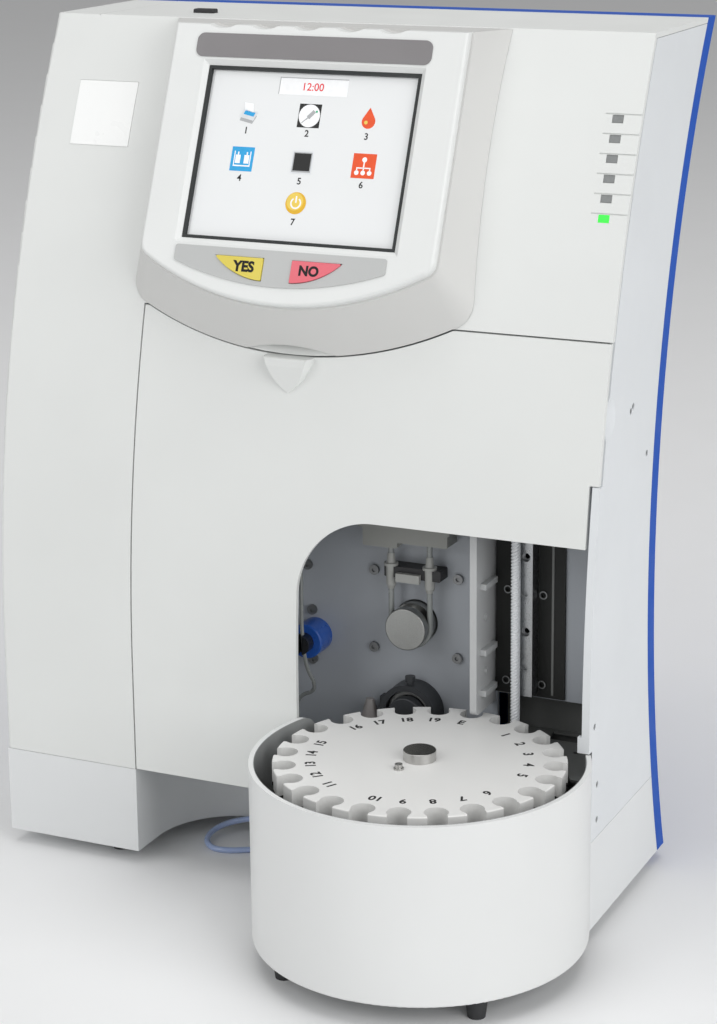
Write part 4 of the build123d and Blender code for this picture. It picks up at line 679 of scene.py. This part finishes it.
probe = (0.5, 112.2)
drawn("probe_tile", probe, ink, [bar(-7, 7, -7, 7)])
drawn("probe_disc", probe, paper, [circle(0, 0, 6.7)], 1)
drawn("probe_barrel", probe, grey, [[(-1.6, -0.4), (0.2, -2.0), (3.8, 2.0), (2.2, 3.6)]], 2)
drawn("probe_needle", probe, grey, [[(-4.6, -4.2), (-4.2, -4.6), (-0.4, -1.4), (-1.0, -0.9)]], 2)
drawn("probe_drop", probe, leaf, [circle(4.3, 2.6, 0.7, 12)], 2)

liquid = (37.9, 112.2)
drawn("drop", liquid, flame, [[(0, 6.6)] + circle(0, -1.6, 4.2, 20, 152, 236)])
drawn("drop_shine", liquid, amber, [circle(-1.5, -2.2, 1.1, 16)], 1)

vials = (-37.9, 84.8)
drawn("vials_tile", vials, sky, [bar(-7.2, 7.2, -7.2, 7.2)])
drawn("vials", vials, paper, [bar(-4.4, -1.2, -2.6, 2.4), bar(1.2, 4.4, -2.6, 2.4),
                              bar(-5.4, 5.4, -4.4, -3.6), bar(-5.4, -4.8, -3.6, 4.6),
                              bar(4.8, 5.4, -3.6, 4.6), bar(-3.2, -2.4, 2.4, 4.2),
                              bar(2.4, 3.2, 2.4, 4.2)], 1)

monitor = (0.5, 84.8)
drawn("monitor_rim", monitor, pale, [bar(-6.7, 6.7, -6.7, 6.7)])
drawn("monitor_edge", monitor, grey, [bar(-5.9, 5.9, -5.9, 5.9)], 1)
drawn("monitor_pane", monitor, ink, [bar(-5.3, 5.3, -5.0, 5.3)], 2)

linked = (39.3, 84.8)
drawn("nodes_tile", linked, flame, [bar(-7.2, 7.2, -7.2, 7.2)])
drawn("nodes_sign", linked, paper, [circle(0, 3.6, 1.5, 16), bar(-0.4, 0.4, -1.2, 2.2),
                                    bar(-4.4, 4.4, -1.6, -0.9), bar(-4.4, -3.7, -3.0, -1.5),
                                    bar(3.7, 4.4, -3.0, -1.5), circle(-4.0, -4.0, 1.4, 16),
                                    circle(0, -4.0, 1.4, 16), circle(4.0, -4.0, 1.4, 16),
                                    bar(-0.35, 0.35, -3.0, -1.5)], 1)

standby = (0.6, 60.9)
drawn("standby_disc", standby, gold, [circle(0, 0, 6.5)])
drawn("standby_shine", standby, amber, [circle(-0.6, 0.9, 5.2)], 1)
drawn("standby_sign", standby, paper, band(0, 0, 3.0, 0.9, 125, 290) + [bar(-0.45, 0.45, 0.2, 4.2)], 2)

signs = (printer, probe, liquid, vials, monitor, linked, standby)
number_levels = (101.9, 101.9, 101.9, 73.8, 73.8, 73.8, 49.9)
for number, (sign, level) in enumerate(zip(signs, number_levels), start=1):
    lettered("display_number_%d" % number, str(number), 4.0, on_face(sign[0], level, glass),
             "screen_glass", "cabinet", ink, layer, 0.02)


# ---- Screw rings on the rail's back plate, and the plate's bent edge as a lighter strip, a painted highlight

rail_plate_front = 56.5
ring_lift = 0.8
ring_radius, ring_width = 2.15, 0.7
edge_x, edge_low, edge_high = 148.8, 128, 270
for number, (x, z) in enumerate(((121, 190), (143, 189), (120, 134), (142.4, 134)), start=1):
    printed("plate_screw_ring_%d" % number, band(0, 0, ring_radius, ring_width),
            facing((1, 0, 0), upright, at(x, rail_plate_front - ring_lift, z)), "screw_dark", "cabinet")
# Painted highlight: the black plate's bent edge is drawn as a grey strip.
printed("rail_plate_edge_highlight", [bar(-0.7, 0.7, edge_low, edge_high)],
        facing((1, 0, 0), upright, at(edge_x, rail_plate_front, 0)), "plate_black", "cabinet",
        grey_black, thick=0.3)


# ---- Power switch marks

rear_waist_y, rear_waist_z, rear_radius = 99.5, 190.0, 600.0
pivot_radius = 579.0
pivot_drop = 94.0
tilt = math.asin(pivot_drop / rear_radius)
rocker_out = Vector((0, math.cos(tilt), math.sin(tilt)))
rocker_up = Vector((0, -math.sin(tilt), math.cos(tilt)))
pivot = at(78.0, rear_waist_y + rear_radius - pivot_radius * math.cos(tilt),
           rear_waist_z - pivot_radius * math.sin(tilt))
switch_marks = (("on_mark", 1, [bar(-0.45, 0.45, -2.2, 2.2)]), ("off_mark", -1, band(0, 0, 1.9, 0.8)))
for name, side, outlines in switch_marks:
    up = (rocker_out * 2.2 * side + rocker_up * 8.1).normalized()
    spot = pivot + (rocker_out * 5.1 + rocker_up * 4.05 * side) * MM
    printed(name, outlines, facing((-1, 0, 0), up, spot), "plate_white", "rocker")


# ---- Floor and light

floor_size = 14.0
floor = bpy.data.objects.new("floor", bpy.data.meshes.new("floor"))
ground = bmesh.new()
bmesh.ops.create_grid(ground, x_segments=1, y_segments=1, size=floor_size)
ground.to_mesh(floor.data)
ground.free()
bpy.context.scene.collection.objects.link(floor)
floor.data.materials.append(moulding("pale_floor", (0.88, 0.885, 0.89), 0.6, 40, 0.00005, 0.005).material)


def soft_light(name, place, target, size, power):
    """A large square lamp that looks at a point."""
    lamp = bpy.data.lights.new(name, "AREA")
    lamp.shape = "SQUARE"
    lamp.size = size
    lamp.energy = power
    holder = bpy.data.objects.new(name, lamp)
    holder.location = place
    holder.rotation_euler = (Vector(target) - Vector(place)).to_track_quat("-Z", "Y").to_euler()
    bpy.context.scene.collection.objects.link(holder)


soft_light("key", (-1.8, -3.1, 2.4), target=(0, 0, 0.25), size=2.8, power=43)
soft_light("fill", (3.1, -1.5, 1.6), target=(0, 0, 0.25), size=2.6, power=62)
soft_light("top", (0.1, 0.0, 3.4), target=(0, 0, 0.3), size=2.6, power=39)
world = bpy.data.worlds.new("world")
world.use_nodes = True
background = world.node_tree.nodes["Background"]
background.inputs["Color"].default_value = (1, 1, 1, 1)
background.inputs["Strength"].default_value = 0.35
bpy.context.scene.world = world

bpy.context.view_layer.update()
